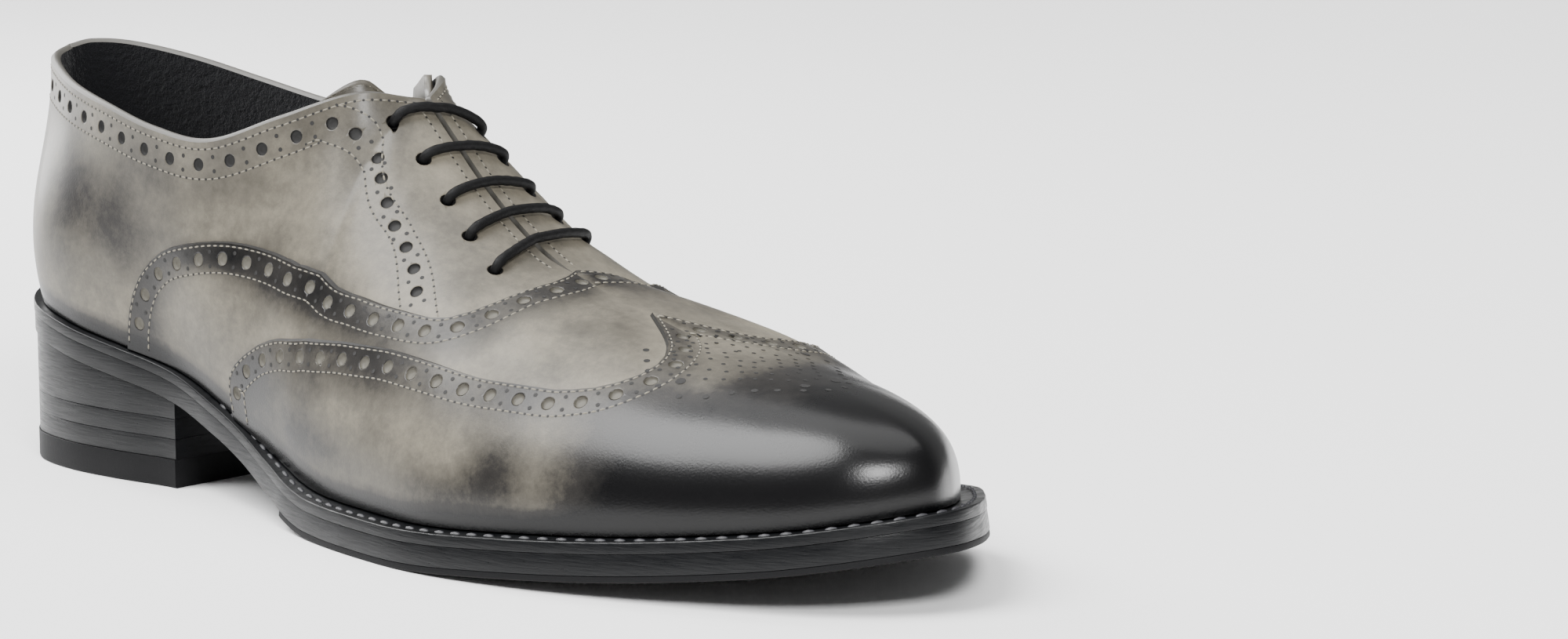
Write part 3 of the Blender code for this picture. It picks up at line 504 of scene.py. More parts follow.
def wall_normal(at, up):
    """The wall's outward normal: level at the foot and the same on both sides of the ridge."""
    at, up = np.broadcast_arrays(np.asarray(at, float), np.asarray(up, float))
    section, _ = section_of(at)
    low = np.clip(up - 0.01, 0.0, 0.97)
    middle = low + 0.01
    across = wall(at, low + 0.02) - wall(at, low)
    along = wall(at + 0.01, middle) - wall(at - 0.01, middle)
    normal = unit(np.cross(along, across))
    slope = ridge_slope(section)
    level = np.full_like(slope, CROSS_SLOPE)
    over_ridge = unit(np.stack([-slope, level, np.ones_like(slope)], -1))
    level = np.zeros_like(slope)[..., None]
    at_foot = np.concatenate([outward(at), level], -1)
    near_ridge = smooth((up - 0.95) / 0.05) * smooth(section - THROAT + 1)
    near_foot = 1 - smooth(up / 0.12)
    rest = 1 - near_ridge - near_foot
    return unit(
        normal * rest[..., None]
        + over_ridge * near_ridge[..., None]
        + at_foot * near_foot[..., None]
    )


def surface(at, up, lift):
    """Points at a distance over the wall."""
    return wall(at, up) + wall_normal(at, up) * np.asarray(lift, float)[..., None]


def medial_section(x, up):
    """The section where the medial wall, this far up, has these places x."""
    sections = np.linspace(0, LAST, 801)
    x, up = np.broadcast_arrays(x, up)
    rows = [np.interp(place, wall(LOOP - sections, share)[:, 0], sections)
            for place, share in zip(x.ravel(), up.ravel())]
    return np.array(rows).reshape(x.shape)


def cut_edge(edge):
    """An overlay's cut edge on the lateral and the medial side, as loop numbers and up.

    The medial edge is as far along the shoe as the lateral one.
    """
    rows = np.linspace(0, len(edge["section"]) - 1, 12 * len(edge["section"]))
    section = curve(edge["section"], rows)
    up = np.clip(curve(edge["up"], rows), 0.0, 1.0)
    steps = np.linalg.norm(np.diff(wall(section, up), axis=0), axis=1)
    run = np.concatenate([[0], np.cumsum(steps)])
    places = np.linspace(0, run[-1], max(2, round(run[-1] / PATTERN_STEP)))
    lateral = np.stack([np.interp(places, run, section), np.interp(places, run, up)], -1)
    medial = lateral[::-1].copy()
    medial[1:, 0] = medial_section(wall(*medial[1:].T)[:, 0], medial[1:, 1])
    medial[:, 0] = LOOP - medial[:, 0]
    return lateral, medial


def inside(points, shape):
    """Which points lie inside a closed outline."""
    x, y = points.T
    found = np.zeros(len(points), bool)
    for a, b in zip(shape, np.roll(shape, -1, axis=0)):
        if a[1] == b[1]:
            continue
        crossing = a[0] + (y - a[1]) * (b[0] - a[0]) / (b[1] - a[1])
        found ^= ((a[1] > y) != (b[1] > y)) & (x < crossing)
    return found


def distance(points, line):
    """The distance of each point to a line of short runs."""
    best = np.full(len(points), np.inf)
    for a, b in zip(line[:-1], line[1:]):
        run = b - a
        t = np.clip((points - a) @ run / max(run @ run, 1e-18), 0, 1)
        best = np.minimum(best, np.linalg.norm(points - a - t[:, None] * run, axis=1))
    return best


def triangles_between(points, edges):
    """Triangles over a flat set of points, keeping the given edges."""
    flat = [Vector(point * 1000) for point in points]
    found = delaunay_2d_cdt(flat, edges, [], 0, 1e-6, True)
    old = [origin[0] if origin else -1 for origin in found[3]]
    if min(old) < 0:
        raise ValueError("two kept edges cross in the flat pattern")
    return [[old[k] for k in face] for face in found[2]]


def under_seat(depth):
    """A height that follows the seat."""
    return lambda x: seat(x) - depth


def level_at(height):
    """A height that is the same everywhere."""
    return lambda x: np.full_like(x, height)


def tongue_edge(section):
    """How low the tongue reaches under the facings, as up on the wall."""
    return TONGUE_LOW + (TONGUE_FOOT_LOW - TONGUE_LOW) * smooth((section - 11.5) / 1.8)


def tongue_depth(section, up):
    """The tongue's depth under the wall's outer face, with room for the lace's hidden runs."""
    eyelets = smooth((section - 8.2) / 0.6) * smooth((13.3 - section) / 0.8)
    band = smooth((up - 0.66) / 0.1) * smooth((1.0 - up) / 0.1)
    return WALL + TONGUE_CLEARANCE + LACE_ROOM * eyelets * band


def bar_places(section, up, drift, t):
    """Where a bar runs, as loop numbers and up, from each eyelet, t 0, to the slit, t 1.

    The medial half goes on in line with the lateral one, seen from above.
    """
    rise = up + (1 - up) * t
    crossing = ridge(np.array(section + drift))[0]
    x = crossing + (crossing - wall(section, up)[0]) * (1 - t)
    return (section + drift * t, rise), (LOOP - medial_section(x, rise), rise)


def lace_path(section, up, drift):
    """A bar's centre line, from inside one eyelet over the facings to the opposite one.

    Where the leather curves, it is lifted until it clears all of the wall near it.
    """
    t = np.linspace(0, 1, 81)
    bend = LACE_BEND["reach"]
    halves = []
    for at, rise in bar_places(section, up, drift, t):
        steps = np.linalg.norm(np.diff(wall(at, rise), axis=0), axis=1)
        run = np.concatenate([[0], np.cumsum(steps)])
        reach = np.concatenate([bend, np.linspace(bend[-1], run[-1], 5)[1:]])
        height = np.append(LACE_BEND["height"], np.full(4, LACE_BEND["height"][-1]))
        near = [
            wall(at + shift, np.minimum(rise + lower, 1.0))
            for shift in np.linspace(-0.5, 0.5, 11)
            for lower in np.linspace(-0.05, 0.05, 5)
        ]
        near = np.concatenate(near)
        places = np.interp(reach, run, at), np.interp(reach, run, rise)
        lift = height.copy()
        for _ in range(4):
            half = surface(*places, lift)
            gap = np.linalg.norm(half[:, None] - near, axis=-1).min(axis=1)
            lift += np.where(height > LACE_RADIUS, np.maximum(height - gap, 0.0), 0.0)
        halves.append(half)
    return np.concatenate([halves[0], halves[1][::-1]])


def srgb(code):
    """The linear colour of an sRGB hex code."""
    levels = [int(code[k:k + 2], 16) / 255 for k in (0, 2, 4)]
    return tuple(c / 12.92 if c <= 0.04045 else ((c + 0.055) / 1.055) ** 2.4 for c in levels)


# Fineness of the visual meshes
SKIN_COLUMNS = 8            # columns of the outer skin from one section to the next
SKIN_ROWS = 44
CUT_STEP = 0.0016           # from point to point along a cut edge
HOLE_SIDES = 14
SOLE_STEPS = 6
TIGHT = 0.00010             # the rounding where two waxed layers meet
CLOSED = 0.00022            # of each gap between the sole's layers, what their wax fills

# Rows of the brogue pattern that follow no cut edge, lateral side: section and up.
FACING_OUTER = table(
    "section up",
    ((7.76, 0.970), (8.60, 0.835), (9.42, 0.710), (10.44, 0.703), (11.15, 0.672),
     (11.67, 0.583)),
)
FACING_INNER = table(
    "section up",
    ((7.45, 0.858), (7.62, 0.850), (7.90, 0.800), (8.60, 0.712), (9.40, 0.633),
     (10.32, 0.625), (10.94, 0.530)),
)
# Inset of the rows from the edge that they follow
COLLAR_FIRST_ROW = 0.0016
COLLAR_HOLES = 0.0053
COLLAR_SECOND_ROW = 0.0088
EDGE_FIRST_ROW = 0.0012
EDGE_HOLES = 0.0043
EDGE_SECOND_ROW = 0.0076
SLIT_ROW = 0.0030
COLLAR_PITCH = 1.36         # the holes' pitch on these rows, as shares of the facing's
EDGE_PITCH = 1.16


def lapped(at, up):
    """Loop numbers and up, broadcast to one shape."""
    return np.broadcast_arrays(np.asarray(at, float), np.asarray(up, float))


def metric(at, up):
    """The wall's change per section and per unit of up, by central differences."""
    low = np.clip(up - 0.01, 0.0, 0.98)
    along = (wall(at + 0.01, up) - wall(at - 0.01, up)) / 0.02
    across = (wall(at, low + 0.02) - wall(at, low)) / 0.02
    return along, across


def moved(at, up, step):
    """The place on the wall after a step in space, solved in the wall's own directions.

    With a and b the wall's two change vectors, it solves the two equations of their dot
    products with the step.
    """
    along, across = metric(at, up)
    aa = (along * along).sum(-1)
    ab = (along * across).sum(-1)
    bb = (across * across).sum(-1)
    p = (along * step).sum(-1)
    q = (across * step).sum(-1)
    det = np.maximum(aa * bb - ab * ab, 1e-14)
    return at + (bb * p - ab * q) / det, up + (aa * q - ab * p) / det


def offset_row(line, gap, side):
    """A row beside a line on the wall, reached in short steps square to the line.

    On both sides a positive gap goes to the right of the line seen from outside on the
    lateral side, so towards the toe from a line that climbs and down from one that runs
    to the toe.
    """
    at, up = line.T
    count = max(1, int(np.ceil(abs(gap) / 0.0012)))
    for _ in range(count):
        run = unit(np.gradient(wall(at, up), axis=0))
        way = unit(np.cross(run, wall_normal(at, up))) * -side
        at, up = moved(at, up, way * gap / count)
        up = np.clip(up, 0.0, 1.0)
    return np.stack([at, up], -1)


def spaced(line, pitch, start=0.0):
    """Places every pitch along a row, by its length in space."""
    steps = np.linalg.norm(np.diff(wall(*line.T), axis=0), axis=1)
    run = np.concatenate([[0], np.cumsum(steps)])
    keep = np.concatenate([[True], np.diff(run) > 1e-9])
    places = np.arange(start, run[-1], pitch)
    return np.stack([np.interp(places, run[keep], line[keep, k]) for k in (0, 1)], -1)


def drawn(rows, count=60):
    """A smooth line through the rows of a table on the lateral wall."""
    at = np.linspace(0, len(rows["section"]) - 1, count)
    return np.stack([curve(rows["section"], at), curve(rows["up"], at)], -1)


def opposite(line):
    """The medial row that lies as far along the shoe as a lateral one."""
    section = medial_section(wall(*line.T)[:, 0], line[:, 1])
    return np.stack([LOOP - section, line[:, 1]], -1)


def cut_lines():
    """The cut edges and their lips as (pattern places, owner, lift), lateral then medial."""
    halves = [cut_edge(edge) for edge in (VAMP_EDGE, WING_EDGE)]
    lines = []
    for owner, cuts in enumerate(halves):
        for cut in cuts:
            flat = cut * UNROLLED
            run = unit(np.gradient(flat, axis=0))
            lip = flat + np.stack([run[:, 1], -run[:, 0]], -1) * OVERLAY_STEP / 2
            side = 1 if cut is cuts[0] else -1
            lip[[0, -1]] = flat[[0, -1]] + (side * OVERLAY_STEP / 2, 0)
            lines += [(flat, owner, 0.0), (lip, owner, OVERLAY_STEP)]
    return lines


CUTS = cut_lines()


def overlay_lift(flat):
    """How far the overlays lift the wall at unrolled places, and which overlay is on top.

    Each lifts by OVERLAY_STEP inside its cut edge and fades over OVERLAY_FADE.
    """
    lift = np.zeros(len(flat))
    panel = np.zeros(len(flat), int)
    for owner in (0, 1):
        cuts = [line for line, which, height in CUTS if which == owner and height == 0.0]
        gap = np.minimum(distance(flat, cuts[0]), distance(flat, cuts[1]))
        within = inside(flat, np.concatenate(cuts))
        lift += np.where(within, OVERLAY_STEP * (1 - smooth(gap / OVERLAY_FADE)), 0.0)
        panel[within] = owner + 1
    return lift, panel


def skin(at, up, over=0.0):
    """Points over the overlays' face."""
    at, up = lapped(at, up)
    lift, _ = overlay_lift(np.stack([at.ravel(), up.ravel()], -1) * UNROLLED)
    return surface(at, up, lift.reshape(at.shape) + over)


def rows_of_pattern():
    """Rows of stitches as lines of (loop number, up), and of holes as (line, pitch share)."""
    thread = []
    holes = []
    for side in (-1, 1):
        section = np.linspace(0.0, THROAT - 0.08, 260)
        top_line = np.stack([section if side < 0 else LOOP - section,
                             np.full_like(section, 0.999)], -1)
        thread.append(offset_row(top_line, COLLAR_FIRST_ROW, side))
        part = section < 7.45
        thread.append(offset_row(top_line[part], COLLAR_SECOND_ROW, side))
        holes.append((offset_row(top_line[section < 7.80], COLLAR_HOLES, side), COLLAR_PITCH))
        section = np.linspace(THROAT + 0.10, SLIT_END - 0.35, 120)
        slit = np.stack([section if side < 0 else LOOP - section,
                         np.full_like(section, 0.999)], -1)
        thread.append(offset_row(slit, SLIT_ROW, side))
    outer = drawn(FACING_OUTER)
    inner = drawn(FACING_INNER)
    middle = (outer + inner)[9:] / 2
    for line in (outer, inner):
        thread += [line, opposite(line)]
    holes += [(middle, 1.0), (opposite(middle), 1.0)]
    for owner, edge in enumerate((VAMP_EDGE, WING_EDGE)):
        lateral, medial = fine_cut(edge)
        for line, side in ((lateral, -1), (medial, 1)):
            thread.append(offset_row(line, EDGE_FIRST_ROW, side))
            thread.append(offset_row(line, EDGE_SECOND_ROW, side))
            holes.append((offset_row(line, EDGE_HOLES, side), EDGE_PITCH))
    return thread, holes


def fine_cut(edge):
    """A cut edge from the foot up on both sides, finely drawn."""
    rows = np.linspace(0, len(edge["section"]) - 1, 12 * len(edge["section"]))
    lateral = np.stack([curve(edge["section"], rows),
                        np.clip(curve(edge["up"], rows), 0.0, 0.999)], -1)
    return lateral, opposite(lateral)


def apart(places, least, others):
    """Which places keep a distance in space from earlier ones and from other points."""
    points = wall(*places.T)
    kept = []
    for number, point in enumerate(points):
        near = points[kept] if kept else np.zeros((0, 3))
        gap = np.linalg.norm(near - point, axis=1).min() if kept else 1.0
        if gap > least and np.linalg.norm(others - point, axis=1).min() > least / 2 + 0.0006:
            kept.append(number)
    return np.array(kept, int)


def on_wall(x, y, section):
    """The place on the wall under a point of the plan, by repeated level steps."""
    side = -1 if y < 0.001 else 1
    at = np.array(section if side < 0 else LOOP - section, float)
    up = np.array(0.80)
    for _ in range(14):
        gap = np.array((x, y, 0.0)) - wall(at, up)
        gap[2] = 0.0
        at, up = moved(at, up, gap * 0.8)
        up = np.clip(up, 0.05, 0.985)
    return np.array((at, up))


# The medallion on the toe: rings of pinholes round a point on the ridge, as half lengths
# along and across the shoe, the spacing along the ring and the hole's radius.
MEDALLION = table(
    "along across pitch radius",
    (
        (0.0050, 0.0042, 0.0034, 0.00055),
        (0.0095, 0.0082, 0.0034, 0.00055),
        (0.0142, 0.0122, 0.0035, 0.00055),
        (0.0190, 0.0160, 0.0037, 0.00055),
        (0.0262, 0.0222, 0.0054, 0.00080),
    ),
)
MEDALLION_CENTRE = (0.0850, 0.0010)
MEDALLION_LARGE = ((0.085, -0.0192), (0.085, 0.0212), (0.1085, -0.004), (0.1085, 0.006))


def medallion():
    """Pinholes of the toe's medallion as places on the wall, and their radii.

    Each ring is an ellipse whose half sizes swell and shrink four times round, so that
    the outermost reads as a scalloped border.
    """
    found = []
    radii = []
    for along, across, pitch, radius in zip(*MEDALLION.values()):
        count = max(6, int(round(2 * pi * (along + across) / 2 / pitch)))
        turn = (np.arange(count) + 0.5) * 2 * pi / count
        swell = 1 + 0.10 * np.cos(4 * turn)
        for a, k in zip(turn, swell):
            x = MEDALLION_CENTRE[0] + along * k * cos(a)
            y = MEDALLION_CENTRE[1] + across * k * sin(a)
            if x < 0.0665:
                continue
            found.append(on_wall(x, y, 15.5))
            radii.append(radius)
    for x, y in MEDALLION_LARGE:
        found.append(on_wall(x, y, 15.5))
        radii.append(0.00125)
    return np.array(found), np.array(radii)


def tangent_frame(at, up):
    """Two unit directions in the wall and its normal."""
    along, _ = metric(at, up)
    normal = wall_normal(at, up)
    first = unit(along - normal * (along * normal).sum(-1, keepdims=True))
    return first, np.cross(normal, first), normal


def ring_places(places, radius, sides):
    """Places of a circle on the wall round each centre: (centre, side, 2)."""
    at, up = places.T
    first, second, _ = tangent_frame(at, up)
    turn = np.arange(sides) * 2 * pi / sides
    radius = np.broadcast_to(radius, at.shape)[:, None, None]
    reach = radius * (np.cos(turn)[None, :, None] * first[:, None]
                      + np.sin(turn)[None, :, None] * second[:, None])
    wide_at, wide_up = (np.repeat(v[:, None], sides, 1) for v in (at, up))
    return np.stack(moved(wide_at, wide_up, reach), -1)


def soft_spot(at, up, side, section, height, wide, tall):
    """A soft round spot of burnish on one side of the shoe, or on both with side 0."""
    number, which = section_of(at)
    spot = np.exp(-((number - section) / wide) ** 2 - ((up - height) / tall) ** 2)
    return spot * ((which == side) | (side == 0))


# Hand burnishing, as spots on the wall: side (-1 lateral, 1 medial, 0 both), section, up,
# half sizes in sections and up, and strength, dark above 0 and rubbed pale below 0.
BURNISH = table(
    "side section up wide tall strength",
    (
        (0, 0.0, 0.50, 1.10, 9.00, 0.42),
        (0, 3.0, 0.55, 0.50, 0.70, 0.20),
        (-1, 4.1, 0.62, 1.10, 0.20, 0.30),
        (-1, 5.2, 0.83, 0.80, 0.12, 0.20),
        (-1, 4.2, 0.40, 0.60, 0.14, 0.22),
        (1, 4.6, 0.65, 1.20, 0.22, 0.28),
        (0, 7.4, 0.68, 1.20, 0.12, -0.12),
        (0, 8.6, 0.88, 0.70, 0.08, 0.16),
        (0, 9.6, 0.50, 0.80, 0.08, -0.10),
        (-1, 7.4, 0.13, 0.60, 0.10, 0.32),
        (-1, 8.9, 0.11, 0.90, 0.07, 0.34),
        (-1, 10.0, 0.12, 0.60, 0.05, 0.26),
        (1, 8.6, 0.12, 1.60, 0.08, 0.34),
        (0, 12.4, 0.25, 1.00, 0.10, -0.10),
        (0, 12.2, 0.11, 0.90, 0.06, 0.26),
        (0, 13.2, 0.19, 0.55, 0.11, 0.40),
        (0, 10.6, 0.90, 1.60, 0.05, -0.14),
        (0, 13.7, 0.64, 0.70, 0.08, -0.12),
        (0, 5.7, 0.22, 0.80, 0.08, -0.05),
        (0, 6.3, 0.54, 1.20, 0.06, 0.24),
        (0, 8.6, 0.42, 1.60, 0.05, 0.18),
        (0, 14.1, 0.94, 0.45, 0.08, 0.14),
    ),
)


def burnish_and_shade(at, up, aside=None):
    """How dark the leather is rubbed at each place, with painted shade at its foot, 0 pale to 1
    black.

    It adds the spots, a dark lowest strip, a band inside each cut edge and the toe, which
    darkens with the distance from the ridge and from the wing's peak. The lowest strip is
    partly the upper's own dark finish at its foot and partly painted shade where the wall
    tucks under. aside shifts the unrolled places that the bands are read at, to tell the
    two sides of a cut edge.
    """
    at, up = lapped(at, up)
    dark = np.full(at.shape, 0.22)
    for side, section, height, wide, tall, strength in zip(*BURNISH.values()):
        dark += strength * soft_spot(at, up, side, section, height, wide, tall)
    points = wall(at, up)
    rise = points[..., 2] - foot(at)[..., 2]
    # Partly painted shade: the lowest 7 mm goes to black, for the foot's dark finish and the shade
    # under the wall's belly
    dark += 1.0 * (1 - smooth(rise / 0.0070))
    flat = np.stack([at.ravel(), up.ravel()], -1) * UNROLLED
    if aside is not None:
        flat = flat + aside
    for owner, strength in ((0, 0.34), (1, 0.28)):
        cuts = [line for line, which, height in CUTS if which == owner and height == 0.0]
        gap = np.minimum(distance(flat, cuts[0]), distance(flat, cuts[1]))
        within = inside(flat, np.concatenate(cuts))
        band = np.where(within, strength * (1 - smooth((gap - 0.004) / 0.008)), 0.0)
        halo = np.where(within, 0.0, -0.08 * (1 - smooth(gap / 0.006)))
        dark += (band + halo).reshape(at.shape)
    x, y, z = np.moveaxis(points, -1, 0)
    level = z - seat(x)
    start = 0.070 + 0.030 * smooth((level - 0.022) / 0.018)
    toe = smooth((x - start + 0.012) / 0.034)
    ridge_light = smooth((level - 0.023) / 0.012) * smooth((0.140 - x) / 0.03)
    dark += toe * (0.80 - 0.46 * ridge_light)
    return np.clip(dark, 0.0, 1.15)


def new_mesh(name, points, faces, smooth_faces=True):
    """A mesh from points and faces."""
    mesh = bpy.data.meshes.new(name)
    mesh.from_pydata(np.asarray(points).tolist(), [], np.asarray(faces).tolist()
                     if isinstance(faces, np.ndarray) else faces)
    if smooth_faces:
        mesh.shade_smooth()
    return mesh


def dressed(name, mesh, material, slot, *nodes):
    """A finished piece: linked, painted, riding the frame and standing for its nodes."""
    piece = bpy.data.objects.new(name, mesh)
    for one in material if isinstance(material, (list, tuple)) else [material]:
        mesh.materials.append(one)
    bpy.context.scene.collection.objects.link(piece)
    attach(piece, "root")
    if nodes:
        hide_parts(*nodes)
    return piece


def give_numbers(mesh, name, values):
    """A number for each point, read by the materials."""
    found = mesh.attributes.new(name, "FLOAT", "POINT")
    found.data.foreach_set("value", np.asarray(values, np.float32))


def grid_faces(rows, columns, closed=False, first=0):
    """Quads over a grid of points in rows, joined round the columns if closed."""
    row = np.arange(rows - 1)[:, None]
    column = np.arange(columns if closed else columns - 1)[None]
    a = first + row * columns + column
    b = first + row * columns + (column + 1) % columns
    return np.stack([a, b, b + columns, a + columns], -1).reshape(-1, 4)


def sweep(path, radius, sides, relief=None):
    """A closed tube: circles square to the path, each turned least from the one before.

    relief(run, turn) gives a share of the radius added at each point.
    """
    path = np.asarray(path, float)
    along = unit(np.gradient(path, axis=0))
    first = np.empty_like(path)
    guess = np.array((0.31, 0.17, 0.94))
    for k, way in enumerate(along):
        guess = guess - way * (guess @ way)
        guess = guess / np.linalg.norm(guess)
        first[k] = guess
    second = np.cross(along, first)
    run = np.concatenate([[0], np.cumsum(np.linalg.norm(np.diff(path, axis=0), axis=1))])
    turn = np.arange(sides) * 2 * pi / sides
    size = radius * np.ones((len(path), sides))
    if relief is not None:
        size = size * (1 + relief(run[:, None], turn[None]))
    points = (path[:, None]
              + size[..., None] * (np.cos(turn)[None, :, None] * first[:, None]
                                   + np.sin(turn)[None, :, None] * second[:, None]))
    faces = grid_faces(len(path), sides, True).tolist()
    faces.append(list(range(sides))[::-1])
    faces.append(list(range((len(path) - 1) * sides, len(path) * sides)))
    return points.reshape(-1, 3), faces


def outward_faces(mesh):
    """The mesh with its doubles merged and its faces turned outwards."""
    work = bmesh.new()
    work.from_mesh(mesh)
    bmesh.ops.remove_doubles(work, verts=work.verts, dist=2e-6)
    bmesh.ops.recalc_face_normals(work, faces=work.faces)
    work.to_mesh(mesh)
    work.free()
    mesh.shade_smooth()
    return mesh


def eyelet_places():
    """The eyelets' places on the lateral and the medial wall, from the top down."""
    found = [[], []]
    for row in zip(*EYELETS.values()):
        for which, (at, up) in enumerate(bar_places(*row, np.array(0.0))):
            found[which].append((float(at), float(up)))
    return np.array(found)


def skin_mesh(holes, eyelets, radius, eyelet_radius):
    """The outer face of quarters, vamp and wing cap as one sheet with its holes cut.

    The wall is unrolled, its cut edges, lips and hole rims are kept as edges of one
    triangulation, and each point goes back to the wall at the overlays' lift.
    """
    columns = np.linspace(0, LOOP, LOOP * SKIN_COLUMNS + 1)
    border = np.concatenate([np.stack([columns, np.full_like(columns, up)], -1)
                             for up in (0, 1)]) * UNROLLED
    lines = []
    for line, owner, height in CUTS:
        step = np.linalg.norm(np.diff(line, axis=0), axis=1)
        run = np.concatenate([[0], np.cumsum(step)])
        places = np.linspace(0, run[-1], max(2, round(run[-1] / CUT_STEP)))
        finer = np.stack([np.interp(places, run, line[:, k]) for k in (0, 1)], -1)
        finer[[0, -1]] = line[[0, -1]]
        lines.append((finer, owner, height))
    ends = np.array([line[k] for line, _, _ in lines for k in (0, -1)])
    near = np.linalg.norm(border[:, None] - ends[None], axis=-1).min(axis=1)
    border = border[near > CUT_STEP / 3]
    ups = np.linspace(0, 1, SKIN_ROWS + 2)[1:-1]
    grid = np.stack(np.meshgrid(columns, ups), -1).reshape(-1, 2)
    section, _ = section_of(grid[:, 0])
    coarse = (np.round(grid[:, 0] * SKIN_COLUMNS).astype(int) % 4) == 0
    grid = grid[(section < CROWN) | (grid[:, 1] < 0.86) | ((grid[:, 1] < 0.97) & coarse)]
    grid = grid * UNROLLED
    clear = np.min([distance(grid, line) for line, _, _ in lines], axis=0)
    seam = np.isin(grid[:, 0], (0.0, LOOP * UNROLLED[0]))
    grid = grid[(clear > CUT_STEP * 0.45) | seam]
    centres = np.concatenate([wall(*holes.T), wall(*eyelets.T)])
    radii = np.concatenate([np.full(len(holes), radius), np.full(len(eyelets), eyelet_radius)])
    where = wall(*(grid / UNROLLED).T)
    for centre, size in zip(centres, radii):
        far = np.abs(where - centre).max(axis=1) > size + 0.0009
        near = ~far
        near[near] = np.linalg.norm(where[near] - centre, axis=1) < size + 0.0007
        grid = grid[~near]
        where = where[~near]
    rims = ring_places(np.concatenate([holes, eyelets]), radii, HOLE_SIDES)
    rings = ring_places(np.concatenate([holes, eyelets]), radii + 0.00032, HOLE_SIDES)
    parts = [border, grid] + [line for line, _, _ in lines]
    parts += [rims.reshape(-1, 2) * UNROLLED, rings.reshape(-1, 2) * UNROLLED]
    points = np.concatenate(parts)
    kind = np.zeros(len(points), int)
    aside = np.zeros_like(points)
    edges = []
    first = len(border) + len(grid)
    lift, panel = overlay_lift(points)
    for number, (line, owner, height) in enumerate(lines):
        here = slice(first, first + len(line))
        other = other_lift(line, owner)
        lift[here] = other + height
        kind[here] = 1 + number // 2
        run = unit(np.gradient(line, axis=0))
        way = np.stack([run[:, 1], -run[:, 0]], -1) * 0.0004
        aside[here] = way if height else -way
        edges += [(first + k, first + k + 1) for k in range(len(line) - 1)]
        first += len(line)
    for ring in range(len(radii)):
        start = first + ring * HOLE_SIDES
        edges += [(start + k, start + (k + 1) % HOLE_SIDES) for k in range(HOLE_SIDES)]
        kind[start:start + HOLE_SIDES] = 100 + ring
        lift[start:start + HOLE_SIDES] -= 0.00014
    faces = np.array(triangles_between(points, edges))
    kinds = kind[faces]
    hole = (kinds[:, 0] >= 100) & (kinds == kinds[:, :1]).all(axis=1)
    faces = faces[~hole]
    at, up = (points / UNROLLED).T
    places = surface(at, up, lift)
    normals = wall_normal(at, up)
    rim_start = first
    rim_count = len(radii) * HOLE_SIDES
    middle = np.repeat(centres, HOLE_SIDES, axis=0)
    rim_here = slice(rim_start, rim_start + rim_count)
    normals[rim_here] = unit(normals[rim_here] + 0.75 * unit(middle - places[rim_here]))
    section, _ = section_of(at)
    index = np.arange(len(points))
    joined = {}
    for k in np.flatnonzero((points[:, 1] == UNROLLED[1]) & (section >= SLIT_END - 1e-6)):
        key = "crown" if section[k] >= CROWN - 1e-6 else round(section[k] * 1e5)
        index[k] = joined.setdefault(key, k)
    for k in np.flatnonzero(np.isin(at, (0.0, float(LOOP)))):
        index[k] = joined.setdefault(("back", round(up[k] * 1e6)), k)
    faces = index[faces]
    good = (faces[:, 0] != faces[:, 1]) & (faces[:, 1] != faces[:, 2]) & (faces[:, 2] != faces[:, 0])
    faces = faces[good]
    used, faces = np.unique(faces, return_inverse=True)
    faces = faces.reshape(-1, 3)
    kinds = kind[used][faces]
    strip = (kinds[:, 0] > 0) & (kinds[:, 0] < 100) & (kinds == kinds[:, :1]).all(axis=1)
    places, normals = places[used], normals[used]
    mesh = new_mesh("upper_skin", places, faces)
    corners = places[faces]
    flat = unit(np.cross(corners[:, 1] - corners[:, 0], corners[:, 2] - corners[:, 0]))
    loops = normals[faces]
    loops[strip] = flat[strip][:, None]
    mesh.normals_split_custom_set(loops.reshape(-1, 3).tolist())
    mesh.polygons.foreach_set("material_index", strip.astype(np.int32))
    give_numbers(mesh, "burnish_and_shade", burnish_and_shade(at[used], up[used], aside[used]))
    return mesh


def other_lift(line, owner):
    """The lift of the overlays other than this one along a line."""
    lift = np.zeros(len(line))
    for other in (0, 1):
        if other == owner:
            continue
        cuts = [cut for cut, which, height in CUTS if which == other and height == 0.0]
        gap = np.minimum(distance(line, cuts[0]), distance(line, cuts[1]))
        within = inside(line, np.concatenate(cuts))
        lift += np.where(within, OVERLAY_STEP * (1 - smooth(gap / OVERLAY_FADE)), 0.0)
    return lift


def dishes(places, radius, depth, sides, over=-0.00014):
    """Punched dishes: a straight wall, a rounded foot and a floor under each rim.

    Each is rings of points at (radius, depth) shares round a centre on the wall.
    """
    at, up = places.T
    centre = skin(at, up)
    first, second, normal = tangent_frame(at, up)
    turn = np.arange(sides) * 2 * pi / sides
    profile = ((1.0, 0.0), (0.97, 0.55), (0.80, 0.90), (0.45, 1.0), (0.0, 1.0))
    radius = np.broadcast_to(radius, at.shape)
    depth = np.broadcast_to(depth, at.shape)
    rings = []
    for share, fall in profile:
        reach = share * radius[:, None, None] * (
            np.cos(turn)[None, :, None] * first[:, None]
            + np.sin(turn)[None, :, None] * second[:, None])
        rings.append(centre[:, None] + reach
                     + normal[:, None] * (over - fall * depth)[:, None, None])
    points = np.stack(rings, 1)
    count = len(profile) * sides
    block = grid_faces(len(profile), sides, True)
    faces = (block[None] + (np.arange(len(places)) * count)[:, None, None]).reshape(-1, 4)
    return points.reshape(-1, 3), faces


def discs(places, radius, over, sides=9):
    """Small round spots that lie on the wall, each a fan with a dark middle: painted shade for
    pinholes and needle holes.
    """
    at, up = places.T
    centre = skin(at, up, over)
    first, second, _ = tangent_frame(at, up)
    turn = np.arange(sides) * 2 * pi / sides
    radius = np.broadcast_to(radius, at.shape)[:, None, None]
    ring = centre[:, None] + radius * (np.cos(turn)[None, :, None] * first[:, None]
                                       + np.sin(turn)[None, :, None] * second[:, None])
    points = np.concatenate([centre[:, None], ring], 1)
    base = np.stack([np.zeros(sides, int), 1 + np.arange(sides),
                     1 + (np.arange(sides) + 1) % sides], -1)
    faces = (base[None] + (np.arange(len(places)) * (sides + 1))[:, None, None]).reshape(-1, 3)
    return points.reshape(-1, 3), faces


